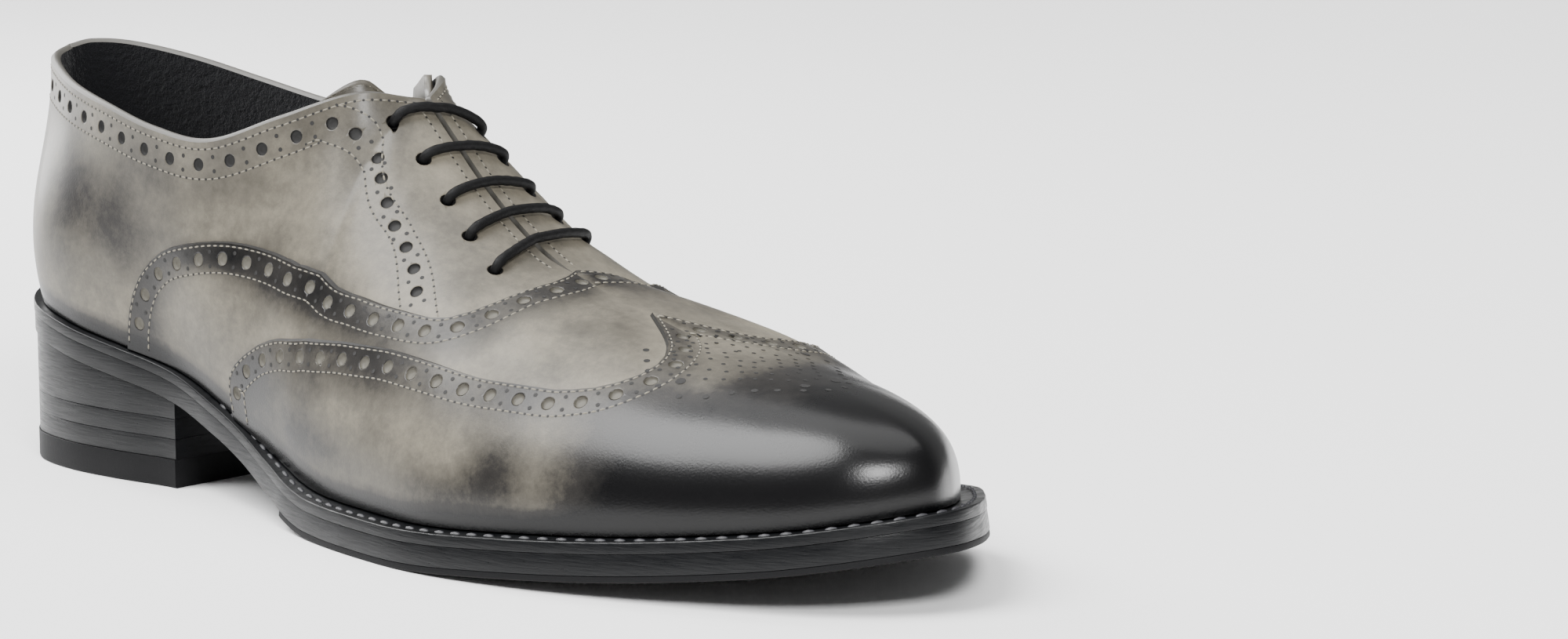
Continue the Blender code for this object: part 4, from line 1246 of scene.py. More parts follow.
def stitch_points(middle, along, normal, length, width, height):
    """Stitches: a half-round bar that tapers to both ends, over each middle point.

    At share s along it, from -1 to 1, its half width is the square root of 1 - s^4, and
    its crown the root of 1 - s^2.
    """
    across = np.cross(normal, along)
    share = np.array((-1.0, -0.72, 0.0, 0.72, 1.0))
    wide = np.sqrt(np.clip(1 - share**4, 0.06, 1))
    crown = np.sqrt(np.clip(1 - share**2, 0.0, 1))
    turn = np.array((0.0, 0.33, 0.67, 1.0)) * pi
    points = (middle[:, None, None]
              + along[:, None, None] * (share * length / 2)[None, :, None, None]
              + across[:, None, None] * (wide[:, None] * np.cos(turn))[None, ..., None] * width / 2
              + normal[:, None, None]
              * ((crown[:, None] * np.sin(turn)) * height - 0.00012)[None, ..., None])
    count = points.shape[1] * points.shape[2]
    block = grid_faces(5, 4)[:, ::-1]
    faces = (block[None] + (np.arange(len(middle)) * count)[:, None, None]).reshape(-1, 4)
    return points.reshape(-1, 3), faces


def rim_mesh():
    """The rolled edge of the collar and the slit's cut edges: a half-round strip.

    Across the wall's thickness it rises as a half sine, by more at the collar.
    """
    parts = []
    faces = []
    first = 0
    for side in (-1, 1):
        section = np.concatenate([np.linspace(0, THROAT, 160),
                                  np.linspace(THROAT, SLIT_END - 0.02, 90)[1:]])
        at = section if side < 0 else LOOP - section
        share = np.linspace(0, 1, 9)
        ones = np.full_like(at, 1.0)
        outer = skin(at, ones)
        normal = wall_normal(at, ones)
        upward = unit(outer - surface(at, ones - 0.03, np.zeros_like(at)))
        bulge = np.where(section < THROAT, 0.0009, 0.00035)
        strip = (outer[:, None] - normal[:, None] * (share * WALL)[None, :, None]
                 + upward[:, None] * (bulge[:, None] * np.sin(pi * share)[None])[..., None])
        parts.append(strip.reshape(-1, 3))
        block = grid_faces(len(at), len(share), False, first)
        faces.append(block if side < 0 else block[:, ::-1])
        first += len(at) * len(share)
    return new_mesh("collar_edge", np.concatenate(parts), np.concatenate(faces))


def lining_mesh():
    """The inner face of the upper, WALL under the outer one, with its faces inwards."""
    at = np.linspace(0, LOOP, LOOP * 4 + 1)
    up = np.concatenate([np.linspace(0.0, 0.92, 20), (0.96, 0.985, 1.0)])
    grid_at, grid_up = np.meshgrid(at, up)
    points = surface(grid_at, grid_up, np.full(grid_at.shape, -WALL))
    outer = foot(at)
    low = points[0].copy()
    low[:, 2] = outer[:, 2]
    points[0] = low
    sheet = np.concatenate([points.reshape(-1, 3), outer])
    faces = grid_faces(len(up), len(at))[:, ::-1]
    count = len(at)
    base = len(up) * count
    k = np.arange(count - 1)
    foot_strip = np.stack([k, k + 1, base + k + 1, base + k], -1)
    mesh = new_mesh("upper_lining", sheet, np.concatenate([faces, foot_strip]))
    work = bmesh.new()
    work.from_mesh(mesh)
    bmesh.ops.remove_doubles(work, verts=work.verts, dist=4e-6)
    bmesh.ops.dissolve_degenerate(work, edges=work.edges, dist=1e-6)
    work.to_mesh(mesh)
    work.free()
    mesh.shade_smooth()
    return mesh


MEDIAL_LEAF = 0.25          # the share of the leaf's rise that shows on the far side


def tongue_rows(side, sections, shares):
    """One side of the tongue: a row of points per section, from the leaf's edge inwards."""
    rows = []
    for section in sections:
        at = section if side < 0 else LOOP - section
        up = 1 - (1 - tongue_edge(section)) * shares
        edge = surface(at, up, -tongue_depth(section, up))
        beside = max(THROAT - 0.05, 0) if section >= THROAT else section
        line = collar(np.array(beside + 0.02), side) - collar(np.array(beside - 0.02), side)
        share = smooth(section - THROAT + 1)
        along = unit(line * -side * (1 - share) / np.linalg.norm(line)
                     + np.array((0.0, share, 0.0)))
        rise = TONGUE_RISE * smooth((section - TONGUE_BACK + 0.15) / 0.9)
        rise *= 1 - (1 - TONGUE_TIP) * smooth((section - 8.2) / 0.7)
        rise *= 1.0 if side < 0 else MEDIAL_LEAF
        way = unit(np.cross(wall_normal(at, 1.0), along))
        leaf = [edge[0] + way * rise * k for k in (1.0, 0.66, 0.33)]
        rows.append(np.concatenate([leaf, edge]))
    return np.array(rows)


def tongue_mesh():
    """The tongue's sheet under the facings, with its leaf past the collar's edge."""
    back = np.linspace(TONGUE_BACK, THROAT, 19)
    sections = np.concatenate([back, np.linspace(THROAT, TONGUE_FOOT, 44)[1:]])
    shares = np.linspace(0, 1, 15)
    sheets = [tongue_rows(side, sections, shares) for side in (-1, 1)]
    rows, columns = sheets[0].shape[:2]
    points = np.concatenate([sheet.reshape(-1, 3) for sheet in sheets])
    faces = []
    for number in (0, 1):
        block = grid_faces(rows, columns, False, number * rows * columns)
        row = np.repeat(np.arange(rows - 1), columns - 1)
        column = np.tile(np.arange(columns - 1), rows - 1)
        keep = (row < len(back) - 1) | (column >= 3)
        faces.append(block[keep] if number else block[keep][:, ::-1])
    half = rows * columns
    seam = []
    throat = (len(back) - 1) * columns
    for j in range(3):
        a = throat + j
        seam.append([a, half + a, half + a + 1, a + 1])
    for k in range(len(back) - 1, rows - 1):
        a = k * columns + 3
        seam.append([a, a + columns, half + a + columns, half + a])
    faces = [list(map(int, face)) for block in faces for face in block] + seam
    mesh = bpy.data.meshes.new("tongue_leather")
    mesh.from_pydata(points.tolist(), [], faces)
    work = bmesh.new()
    work.from_mesh(mesh)
    bmesh.ops.delete(work, geom=[v for v in work.verts if not v.link_faces], context="VERTS")
    bmesh.ops.recalc_face_normals(work, faces=work.faces)
    if sum(face.normal.z for face in work.faces) < 0:
        bmesh.ops.reverse_faces(work, faces=work.faces)
    work.to_mesh(mesh)
    work.free()
    mesh.shade_smooth()
    return mesh, sheets


def lace_run():
    """The whole lace as one line: bars over the facings, joined by runs under them.

    From the lowest bar, one end climbs to bars 4 and 2, the other to bars 3 and 1, each
    run under the facing going from an eyelet to the next bar's on the same side. Both
    ends stop under the top eyelets.
    """
    bars = [lace_path(*row) for row in zip(*EYELETS.values())]
    eyes = eyelet_places()

    def under(side, start, end, shift):
        """A run under the facing, between the leather and the tongue."""
        share = np.linspace(0.12, 0.88, 9)
        at = eyes[side][start][0] + (eyes[side][end][0] - eyes[side][start][0]) * share
        up = eyes[side][start][1] + (eyes[side][end][1] - eyes[side][start][1]) * share
        up = up + shift * np.sin(pi * share)
        return surface(at, up, np.full(len(at), -WALL - 0.0015))

    def hidden_end(side):
        """The lace's end, just past the top eyelet."""
        at, up = eyes[side][0]
        step = -0.25 if side == 0 else 0.25
        places = surface(np.array((at, at + step)), np.array((up, up)), np.full(2, -WALL - 0.0015))
        return places

    first = [bars[4][::-1], under(0, 4, 3, 0.03), bars[3], under(1, 3, 1, -0.05),
             bars[1][::-1], under(0, 1, 0, 0.03), hidden_end(0)[1:]]
    second = [under(1, 4, 2, -0.05), bars[2][::-1], under(0, 2, 0, -0.05), bars[0],
              hidden_end(1)[1:]]
    back = np.concatenate([part for part in first])[::-1]
    path = np.concatenate([back] + second)
    keep = np.concatenate([[True], np.linalg.norm(np.diff(path, axis=0), axis=1) > 1e-5])
    path = path[keep]
    step = np.linalg.norm(np.diff(path, axis=0), axis=1)
    run = np.concatenate([[0], np.cumsum(step)])
    places = np.arange(0, run[-1], 0.00035)
    path = np.stack([np.interp(places, run, path[:, k]) for k in range(3)], -1)
    for _ in range(6):
        path[1:-1] = 0.25 * path[:-2] + 0.5 * path[1:-1] + 0.25 * path[2:]
    return path


def braid(run, turn):
    """The relief of a round braid: strands that cross every 1.6 mm, as shares of the radius."""
    climb = 2 * pi / 0.0032
    one = np.abs(np.sin(2 * turn + climb * run / 2))
    other = np.abs(np.sin(2 * turn - climb * run / 2))
    return 0.05 * (one + other) - 0.05


def slab_rings(sections, levels, ring=0.0):
    """Loops round the shoe at (inset, height of x), as an array (level, place, 3)."""
    at = np.concatenate([sections, (LOOP - sections)[::-1]])
    if ring:
        levels = levels + [(ring, levels[-1][1]), (ring, levels[0][1]), levels[0]]
    rings = []
    for inset, height in levels:
        flat = outline(at) - outward(at) * np.broadcast_to(inset, at.shape)[..., None]
        rise = height(flat[:, 0])
        flat = flat + outward(at) * flare(at, seat(flat[:, 0]) - rise)[:, None]
        rings.append(np.concatenate([flat, rise[:, None]], -1))
    return np.stack(rings)


def slab_mesh(name, sections, levels, ring=0.0):
    """A layer of the sole from its loops, with flat caps unless it is a frame."""
    rings = slab_rings(sections, levels, ring)
    count = rings.shape[1]
    faces = grid_faces(len(rings), count, True).tolist()
    if not ring:
        for first in (0, (len(rings) - 1) * count):
            for k in range(len(sections) - 1):
                a, b = first + k, first + count - 1 - k
                faces += [[a, a + 1, b - 1], [a, b - 1, b]]
    mesh = outward_faces(new_mesh(name, rings.reshape(-1, 3), faces))
    mesh.set_sharp_from_angle(angle=radians(40))
    return mesh


def rounded(low, high, inset, above, below, steps=3):
    """The levels of a layer between two heights, with quarter-round edges of two radii."""
    turn = np.linspace(0, pi / 2, steps + 1)
    levels = [(inset + below * (1 - sin(t)), lambda x, t=t: low(x) + below * (1 - cos(t)))
              for t in turn]
    levels += [(inset + above * (1 - cos(t)), lambda x, t=t: high(x) - above * (1 - sin(t)))
               for t in turn]
    return levels


def join_meshes(name, parts):
    """One mesh from several (points, faces)."""
    points = np.concatenate([part[0] for part in parts])
    faces = []
    first = 0
    for part_points, part_faces in parts:
        faces += [[int(k) + first for k in face] for face in part_faces]
        first += len(part_points)
    return new_mesh(name, points, faces)


def node(tree, kind, settings=(), links=()):
    """A shader node with its settings and the links into it."""
    made = tree.nodes.new(kind)
    for name, value in dict(settings).items():
        if name in made.inputs:
            made.inputs[name].default_value = value
        else:
            setattr(made, name, value)
    for target, source in dict(links).items():
        tree.links.new(source, made.inputs[target])
    return made


def plain(name, colour, roughness, **sockets):
    """A material with one colour; other sockets of its shader by name."""
    material = bpy.data.materials.new(name)
    material.use_nodes = True
    shader = material.node_tree.nodes["Principled BSDF"]
    shader.inputs["Base Color"].default_value = (*colour[:3], 1.0)
    shader.inputs["Roughness"].default_value = roughness
    for socket, value in sockets.items():
        shader.inputs[socket.replace("_", " ")].default_value = value
    return material, material.node_tree, shader


def with_bump(tree, shader, height, strength, depth):
    """Relief of a real depth on a material."""
    bump = node(tree, "ShaderNodeBump", {"Strength": strength, "Distance": depth}, {"Height": height})
    tree.links.new(bump.outputs["Normal"], shader.inputs["Normal"])


def burnished_calf(colours):
    """Hand-burnished calf: smooth satin leather, rubbed from pale grey to black.

    The mesh's burnish number, which also holds painted shade at the wall's foot, is broken up
    by clouds of about 30 mm and mottling of about 2 mm, and a colour ramp turns it into dye
    and painted shade; the grain's pores are about 0.5 mm apart.
    """
    material, tree, shader = plain("burnished_calf", colours.pale_leather, 0.40)
    shader.inputs["Specular IOR Level"].default_value = 0.30
    shader.inputs["Coat Weight"].default_value = 0.10
    shader.inputs["Coat Roughness"].default_value = 0.20
    place = node(tree, "ShaderNodeTexCoord")
    dark = node(tree, "ShaderNodeAttribute", {"attribute_name": "burnish_and_shade"})
    clouds = node(tree, "ShaderNodeTexNoise", {"Scale": 34.0, "Detail": 5.0, "Roughness": 0.62},
                  {"Vector": place.outputs["Object"]})
    mottle = node(tree, "ShaderNodeTexNoise", {"Scale": 420.0, "Detail": 6.0, "Roughness": 0.75},
                  {"Vector": place.outputs["Object"]})
    wide = node(tree, "ShaderNodeMath", {"operation": "MULTIPLY_ADD"},
                {0: clouds.outputs["Fac"], 2: dark.outputs["Fac"]})
    wide.inputs[1].default_value = 0.75
    fine = node(tree, "ShaderNodeMath", {"operation": "MULTIPLY_ADD"},
                {0: mottle.outputs["Fac"], 2: wide.outputs[0]})
    fine.inputs[1].default_value = 0.36
    level = node(tree, "ShaderNodeMath", {"operation": "SUBTRACT"}, {0: fine.outputs[0]})
    level.inputs[1].default_value = 0.48
    ramp = node(tree, "ShaderNodeValToRGB", links={"Fac": level.outputs[0]})
    stops = ramp.color_ramp
    stops.elements[0].position = 0.06
    stops.elements[0].color = (*colours.pale_leather, 1)
    stops.elements[1].position = 0.96
    stops.elements[1].color = (*colours.black_leather, 1)
    for position, colour in ((0.34, colours.mid_leather), (0.66, colours.dark_leather)):
        stop = stops.elements.new(position)
        stop.color = (*colour, 1)
    tree.links.new(ramp.outputs["Color"], shader.inputs["Base Color"])
    gloss = node(tree, "ShaderNodeMapRange",
                 {"From Min": 0.1, "From Max": 1.0, "To Min": 0.46, "To Max": 0.27},
                 {"Value": level.outputs[0]})
    tree.links.new(gloss.outputs["Result"], shader.inputs["Roughness"])
    pores = node(tree, "ShaderNodeTexNoise", {"Scale": 1900.0, "Detail": 3.0, "Roughness": 0.55},
                 {"Vector": place.outputs["Object"]})
    with_bump(tree, shader, pores.outputs["Fac"], 0.30, 0.00012)
    return material


def rough_fibre(name, colour, roughness, scale, strength, depth, sheen=0.0):
    """A matt fibrous surface: noise of a real fibre size as relief."""
    material, tree, shader = plain(name, colour, roughness)
    shader.inputs["Specular IOR Level"].default_value = 0.20
    shader.inputs["Sheen Weight"].default_value = sheen
    shader.inputs["Sheen Roughness"].default_value = 0.5
    place = node(tree, "ShaderNodeTexCoord")
    hair = node(tree, "ShaderNodeTexNoise", {"Scale": scale, "Detail": 4.0, "Roughness": 0.75},
                {"Vector": place.outputs["Object"]})
    with_bump(tree, shader, hair.outputs["Fac"], strength, depth)
    return material


def waxed_edge(name, colour, roughness):
    """Stacked sole leather, dyed and waxed: fine level lines along the edge.

    The lines are noise squeezed 14 times in height, about 0.5 mm apart.
    """
    material, tree, shader = plain(name, colour, roughness)
    shader.inputs["Specular IOR Level"].default_value = 0.28
    place = node(tree, "ShaderNodeTexCoord")
    squeezed = node(tree, "ShaderNodeMapping", links={"Vector": place.outputs["Object"]})
    squeezed.inputs["Scale"].default_value = (1.0, 1.0, 14.0)
    lines = node(tree, "ShaderNodeTexNoise", {"Scale": 150.0, "Detail": 4.0, "Roughness": 0.6},
                 {"Vector": squeezed.outputs["Vector"]})
    tone = node(tree, "ShaderNodeMapRange",
                {"From Min": 0.3, "From Max": 0.75,
                 "To Min": roughness - 0.08, "To Max": roughness + 0.16},
                {"Value": lines.outputs["Fac"]})
    tree.links.new(tone.outputs["Result"], shader.inputs["Roughness"])
    with_bump(tree, shader, lines.outputs["Fac"], 0.35, 0.00022)
    return material


class ShoeSizes(bpy.types.PropertyGroup):
    """Sizes of the punched pattern, the eyelets and the thread."""

    hole_diameter: FloatProperty(name="Hole", description="Diameter of the large punched holes",
                                 default=0.0032, unit="LENGTH")
    hole_pitch: FloatProperty(name="Hole pitch", description="From one large hole to the next",
                              default=0.0072, unit="LENGTH")
    hole_depth: FloatProperty(name="Hole depth", description="Depth of the punched holes",
                              default=0.0008, unit="LENGTH")
    pinhole_diameter: FloatProperty(name="Pinhole", description="Diameter of the small holes",
                                    default=0.0011, unit="LENGTH")
    stitch_pitch: FloatProperty(name="Stitch pitch", description="From stitch to stitch",
                                default=0.0021, unit="LENGTH")
    stitch_width: FloatProperty(name="Thread", description="Width of a stitch",
                                default=0.00050, unit="LENGTH")
    welt_stitch_pitch: FloatProperty(name="Welt stitch pitch",
                                     description="From stitch to stitch on the welt",
                                     default=0.0050, unit="LENGTH")
    eyelet_diameter: FloatProperty(name="Eyelet", description="Diameter of the punched eyelets",
                                   default=2 * EYELET_RADIUS, unit="LENGTH")


class ShoeColours(bpy.types.PropertyGroup):
    """Colours of the shoe's finishes."""

    pale_leather: FloatVectorProperty(name="Pale leather", description="Where the dye is rubbed back",
                                      subtype="COLOR", default=srgb("7d7769"), min=0, max=1)
    mid_leather: FloatVectorProperty(name="Middle leather", description="The leather's main tone",
                                     subtype="COLOR", default=srgb("57534a"), min=0, max=1)
    dark_leather: FloatVectorProperty(name="Dark leather", description="Burnished leather",
                                      subtype="COLOR", default=srgb("242220"), min=0, max=1)
    black_leather: FloatVectorProperty(name="Black leather", description="The darkest burnish",
                                       subtype="COLOR", default=srgb("040405"), min=0, max=1)
    thread: FloatVectorProperty(name="Thread", description="The upper's stitching",
                                subtype="COLOR", default=srgb("757063"), min=0, max=1)
    sole: FloatVectorProperty(name="Sole", description="Welt, sole edge and heel",
                              subtype="COLOR", default=srgb("050608"), min=0, max=1)


# Sizes of the finishes
CLEAR_OF_FOLD = 0.12         # sections that a hole keeps from the wall's fold at the throat
EYELET_FLOOR = 0.0003        # what is left of the wall under an eyelet's dish
STITCH_HEIGHT = 0.00034      # of the upper's thread over the leather
NEEDLE_RADIUS = 0.00034
LEAF_STITCH = 0.0015         # a stitch on the tongue's leaf, and from one to the next
LEAF_PITCH = 0.0021
LEAF_THREAD = 0.0005
WELT_STITCH_INSET = 0.0024   # the welt's stitches from its edge
WELT_ROUNDING = 0.00035
OUTSOLE_EDGE_SET = 0.00015
RUBBER_EDGE_SET = 0.0003
RUBBER_ROUNDING = 0.0003


def pattern_places(sizes):
    """The rows of thread, the large holes and the pinholes, spaced along their rows."""
    thread, rows = rows_of_pattern()
    large = []
    small = []
    for row, share in rows:
        pitch = sizes.hole_pitch * share
        row = row[(row[:, 1] < 0.992) & (row[:, 1] > 0.045)]
        places = spaced(row, pitch, pitch / 2)
        between = spaced(row, pitch, pitch)
        large.append(places)
        if len(between) > 2:
            for gap in (-0.0017, 0.0017):
                small.append(offset_row(between, gap, -1))
    return thread, np.concatenate(large), np.concatenate(small)


class SHOE_OT_upper(bpy.types.Operator):
    """Adds the burnished leather of quarters, vamp and wing cap with its punched holes."""

    bl_idname = "shoe.upper"
    bl_label = "Add upper leather"

    def execute(self, context):
        sizes, colours = context.scene.shoe_sizes, context.scene.shoe_colours
        _, large, small = pattern_places(sizes)
        lines = np.concatenate([line for line, _, _ in CUTS])
        edges = np.concatenate([wall(*(lines / UNROLLED).T),
                                wall(*eyelet_places().reshape(-1, 2).T)])
        section, _ = section_of(large[:, 0])
        on_fold = (abs(section - THROAT) < CLEAR_OF_FOLD) & (large[:, 1] > 0.6)
        way = np.where(large[:, 0] < LOOP / 2, 1.0, -1.0)
        large[on_fold, 0] += (way * (THROAT + CLEAR_OF_FOLD - section))[on_fold]
        large = large[(large[:, 1] < 0.975) | (section < THROAT)]
        large = large[apart(large, sizes.hole_diameter * 1.6, edges)]
        eyes = eyelet_places().reshape(-1, 2)
        calf = burnished_calf(colours)
        # Edge paint: a dull black line where the leather is cut
        paint, _, _ = plain("edge_paint", srgb("141312"), 0.5)
        mesh = skin_mesh(large, eyes, sizes.hole_diameter / 2, sizes.eyelet_diameter / 2)
        dressed("upper_skin", mesh, [calf, paint], "upper_leather", "upper")
        flat = large * UNROLLED
        _, panel = overlay_lift(flat)
        # Painted shade in the depth of a hole: nearly black and matt
        black, _, _ = plain("hole_shadow", srgb("131211"), 0.7)
        # Backing leather: the paler floor that shows through the overlays' holes
        backing, _, _ = plain("backing_leather", srgb("5b584f"), 0.6)
        for name, which, material in (("collar_holes", panel == 0, black),
                                      ("overlay_holes", panel > 0, backing)):
            points, faces = dishes(large[which], sizes.hole_diameter / 2, sizes.hole_depth,
                                   HOLE_SIDES)
            mesh = new_mesh(name, points, faces)
            dressed(name, mesh, material, "upper_leather")
        # Painted shade: the eyelets' walls and floor in the near-black hole colour
        points, faces = dishes(eyes, sizes.eyelet_diameter / 2, WALL - EYELET_FLOOR, HOLE_SIDES)
        dressed("eyelet_walls", new_mesh("eyelet_walls", points, faces), black, "upper_leather")
        keep = apart(small, sizes.pinhole_diameter * 1.4, wall(*large.T))
        toe, radii = medallion()
        pins = np.concatenate([small[keep], toe])
        radius = np.concatenate([np.full(len(keep), sizes.pinhole_diameter / 2), radii])
        # Painted shade: each pinhole is a flat near-black disc on the leather
        points, faces = discs(pins, radius, 0.00004)
        dressed("pinholes", new_mesh("pinholes", points, faces), black, "upper_leather")
        return {"FINISHED"}


class SHOE_OT_lining(bpy.types.Operator):
    """Adds the lining, the collar's rolled edge and the slit's edges."""

    bl_idname = "shoe.lining"
    bl_label = "Add lining and edges"

    def execute(self, context):
        # Napped suede: soft and black, with a faint sheen
        hairy = rough_fibre("suede_lining", srgb("0b0c10"), 0.85, 520.0, 1.0, 0.0016, 0.12)
        dressed("upper_lining", lining_mesh(), hairy, "lining_leather")
        # Folded calf: a grey satin rim
        rolled, _, _ = plain("rolled_edge_leather", srgb("4c4a45"), 0.45)
        dressed("collar_edge", rim_mesh(), rolled, "upper_leather")
        return {"FINISHED"}


class SHOE_OT_stitches(bpy.types.Operator):
    """Adds the rows of stitches on the upper, each with its needle holes."""

    bl_idname = "shoe.stitches"
    bl_label = "Add stitches"

    def execute(self, context):
        sizes, colours = context.scene.shoe_sizes, context.scene.shoe_colours
        thread, _, _ = pattern_places(sizes)
        ends = []
        parts = []
        for row in thread:
            row = row[(row[:, 1] < 0.9985) & (row[:, 1] > 0.02)]
            places = spaced(row, sizes.stitch_pitch, sizes.stitch_pitch / 2)
            if len(places) < 3:
                continue
            middle = skin(*places.T)
            along = unit(np.gradient(middle, axis=0))
            normal = wall_normal(*places.T)
            along = unit(along - normal * (along * normal).sum(-1, keepdims=True))
            parts.append(stitch_points(middle, along, normal, sizes.stitch_pitch * 0.72,
                                       sizes.stitch_width, STITCH_HEIGHT))
            ends.append(spaced(row, sizes.stitch_pitch, 0.0))
        # Waxed linen thread: small grey dashes
        waxed, _, _ = plain("waxed_thread", colours.thread, 0.6)
        dressed("upper_stitches", join_meshes("upper_stitches", parts), waxed, "upper_leather")
        black = bpy.data.materials["hole_shadow"]
        # Painted shade: each needle hole is a flat near-black disc on the leather
        points, faces = discs(np.concatenate(ends), NEEDLE_RADIUS, 0.00003, 7)
        dressed("needle_holes", new_mesh("needle_holes", points, faces), black, "upper_leather")
        return {"FINISHED"}


class SHOE_OT_tongue(bpy.types.Operator):
    """Adds the tongue, whose leaf is stitched on the outer side."""

    bl_idname = "shoe.tongue"
    bl_label = "Add tongue"

    def execute(self, context):
        calf = bpy.data.materials["burnished_calf"]
        mesh, sheets = tongue_mesh()
        give_numbers(mesh, "burnish_and_shade", np.full(len(mesh.vertices), 0.30))
        tongue = dressed("tongue_leather", mesh, calf, "upper_leather", "tongue")
        outer = sheets[0][2:19]
        path = outer[:, 1]
        step = np.linalg.norm(np.diff(path, axis=0), axis=1)
        run = np.concatenate([[0], np.cumsum(step)])
        places = np.arange(0.001, run[-1], LEAF_PITCH)
        fall = outer[:, 3] - outer[:, 0]
        middle = np.stack([np.interp(places, run, path[:, k]) for k in range(3)], -1)
        down = np.stack([np.interp(places, run, fall[:, k]) for k in range(3)], -1)
        along = unit(np.gradient(middle, axis=0))
        normal = unit(np.cross(along, down))
        stitches = stitch_points(middle, along, normal, LEAF_STITCH, LEAF_THREAD, STITCH_HEIGHT)
        thread = bpy.data.materials["waxed_thread"]
        mesh = join_meshes("tongue_stitches", [stitches])
        dressed("tongue_stitches", mesh, thread, "upper_leather")
        shell = tongue.modifiers.new("thickness", "SOLIDIFY")
        shell.thickness = TONGUE_THICKNESS
        shell.offset = -1.0
        shell.use_even_offset = False
        return {"FINISHED"}


class SHOE_OT_lace(bpy.types.Operator):
    """Adds the braided lace as one cord through the eyelets."""

    bl_idname = "shoe.lace"
    bl_label = "Add lace"

    def execute(self, context):
        # Waxed cotton braid: black cord with a dull shine on its strands
        cotton = rough_fibre("waxed_cotton_braid", srgb("060607"), 0.55, 2400.0, 0.6, 0.0002)
        points, faces = sweep(lace_run(), LACE_RADIUS * 0.98, 18, braid)
        mesh = new_mesh("lace_cord", points, faces)
        bars = [f"lace_bar_{k}" for k in range(1, 6)]
        dressed("lace", mesh, cotton, "lace_cord", *bars)
        return {"FINISHED"}


class SHOE_OT_sole(bpy.types.Operator):
    """Adds the welt with its stitches, the sole, the heel's layers and the insole."""

    bl_idname = "shoe.sole"
    bl_label = "Add sole and heel"

    def execute(self, context):
        sizes, colours = context.scene.shoe_sizes, context.scene.shoe_colours
        waxed = waxed_edge("waxed_sole_edge", colours.sole, 0.34)
        # Moulded rubber: flat black
        rubber = rough_fibre("heel_rubber", srgb("08080a"), 0.62, 1200.0, 0.25, 0.0002)
        # Insole cover: black and matt
        inner = rough_fibre("insole_lining", srgb("101012"), 0.7, 700.0, 0.5, 0.0003)
        whole = np.linspace(0, LAST, LAST * SOLE_STEPS + 1)
        sections = np.linspace(4, 7, 3001)
        breast = np.interp(HEEL_LENGTH - SOLE_LENGTH / 2, outline(sections)[:, 0], sections)
        heel = np.linspace(0, breast, 5 * SOLE_STEPS + 1)
        forepart = np.linspace(RUBBER_START, LAST, 11 * SOLE_STEPS + 1)
        top_of_sole = WELT_THICKNESS + LAYER_GAP
        floor_of_sole = top_of_sole + OUTSOLE_THICKNESS
        rubber_top = floor_of_sole + LAYER_GAP
        layers = [
            ("welt", whole, WELT_SHELF, waxed, "sole_leather",
             rounded(under_seat(WELT_THICKNESS), seat, 0.0, WELT_ROUNDING, TIGHT)),
            ("outsole", whole, 0.0, waxed, "sole_leather",
             rounded(under_seat(floor_of_sole), under_seat(top_of_sole - CLOSED),
                     OUTSOLE_EDGE_SET, TIGHT, TIGHT)),
            ("half_sole", forepart, 0.0, rubber, "heel_rubber",
             rounded(under_seat(rubber_top + RUBBER_THICKNESS), under_seat(rubber_top - CLOSED),
                     RUBBER_EDGE_SET, TIGHT, RUBBER_ROUNDING)),
            ("heel_top_piece", heel, 0.0, rubber, "heel_rubber",
             rounded(level_at(0.0), level_at(TOP_PIECE_THICKNESS),
                     TOP_PIECE_SET, TIGHT, EDGE_ROUNDING)),
        ]
        height = TOP_PIECE_THICKNESS
        for number in range(1, LIFTS + 1):
            low = height + LAYER_GAP
            height = low + LIFT_THICKNESS
            layers.append((f"heel_lift_{number}", heel, 0.0, waxed, "sole_leather",
                           rounded(level_at(low - CLOSED), level_at(height),
                                   HEEL_SET, TIGHT, TIGHT)))
        layers.append(("heel_wedge", heel, 0.0, waxed, "sole_leather",
                       rounded(level_at(height + LAYER_GAP - CLOSED),
                               under_seat(rubber_top - CLOSED), HEEL_SET, TIGHT, TIGHT)))
        at = np.concatenate([whole, (LOOP - whole)[::-1]])
        inset = feather(at) + WALL + INSOLE_CLEARANCE
        top = -UPPER_GAP - INSOLE_THICKNESS
        layers.append(("insole", whole, 0.0, inner, "lining_leather",
                       [(inset, under_seat(-UPPER_GAP)),
                        (inset, under_seat(top + EDGE_ROUNDING)),
                        (inset + EDGE_ROUNDING, under_seat(top))]))
        for name, places, ring, material, slot, levels in layers:
            mesh = slab_mesh(name + "_finish", places, levels, ring)
            dressed(name + "_finish", mesh, material, slot, name)
        self.add_welt_stitches(sizes)
        return {"FINISHED"}

    def add_welt_stitches(self, sizes):
        """Lock stitches in a row on the welt, from waist to waist round the toe."""
        at = np.linspace(6.0, LOOP - 6.0, 1500)
        flat = outline(at) - outward(at) * WELT_STITCH_INSET
        run = np.concatenate([[0], np.cumsum(np.linalg.norm(np.diff(flat, axis=0), axis=1))])
        places = np.interp(np.arange(0.002, run[-1], sizes.welt_stitch_pitch), run, at)
        flat = outline(places) - outward(places) * WELT_STITCH_INSET
        middle = np.concatenate([flat, seat(flat[:, 0])[:, None]], -1)
        along = unit(np.gradient(middle, axis=0))
        level = np.concatenate([outward(places), np.zeros((len(places), 1))], -1)
        normal = unit(np.cross(along, level))
        normal = normal * np.sign(normal[:, 2:])
        part = stitch_points(middle, along, normal, sizes.welt_stitch_pitch * 0.62, 0.0012, 0.0007)
        # Welt thread: dark waxed dashes that catch the light
        thread, _, _ = plain("welt_thread", srgb("26262a"), 0.5)
        dressed("welt_stitches", join_meshes("welt_stitches", [part]), thread, "sole_leather")


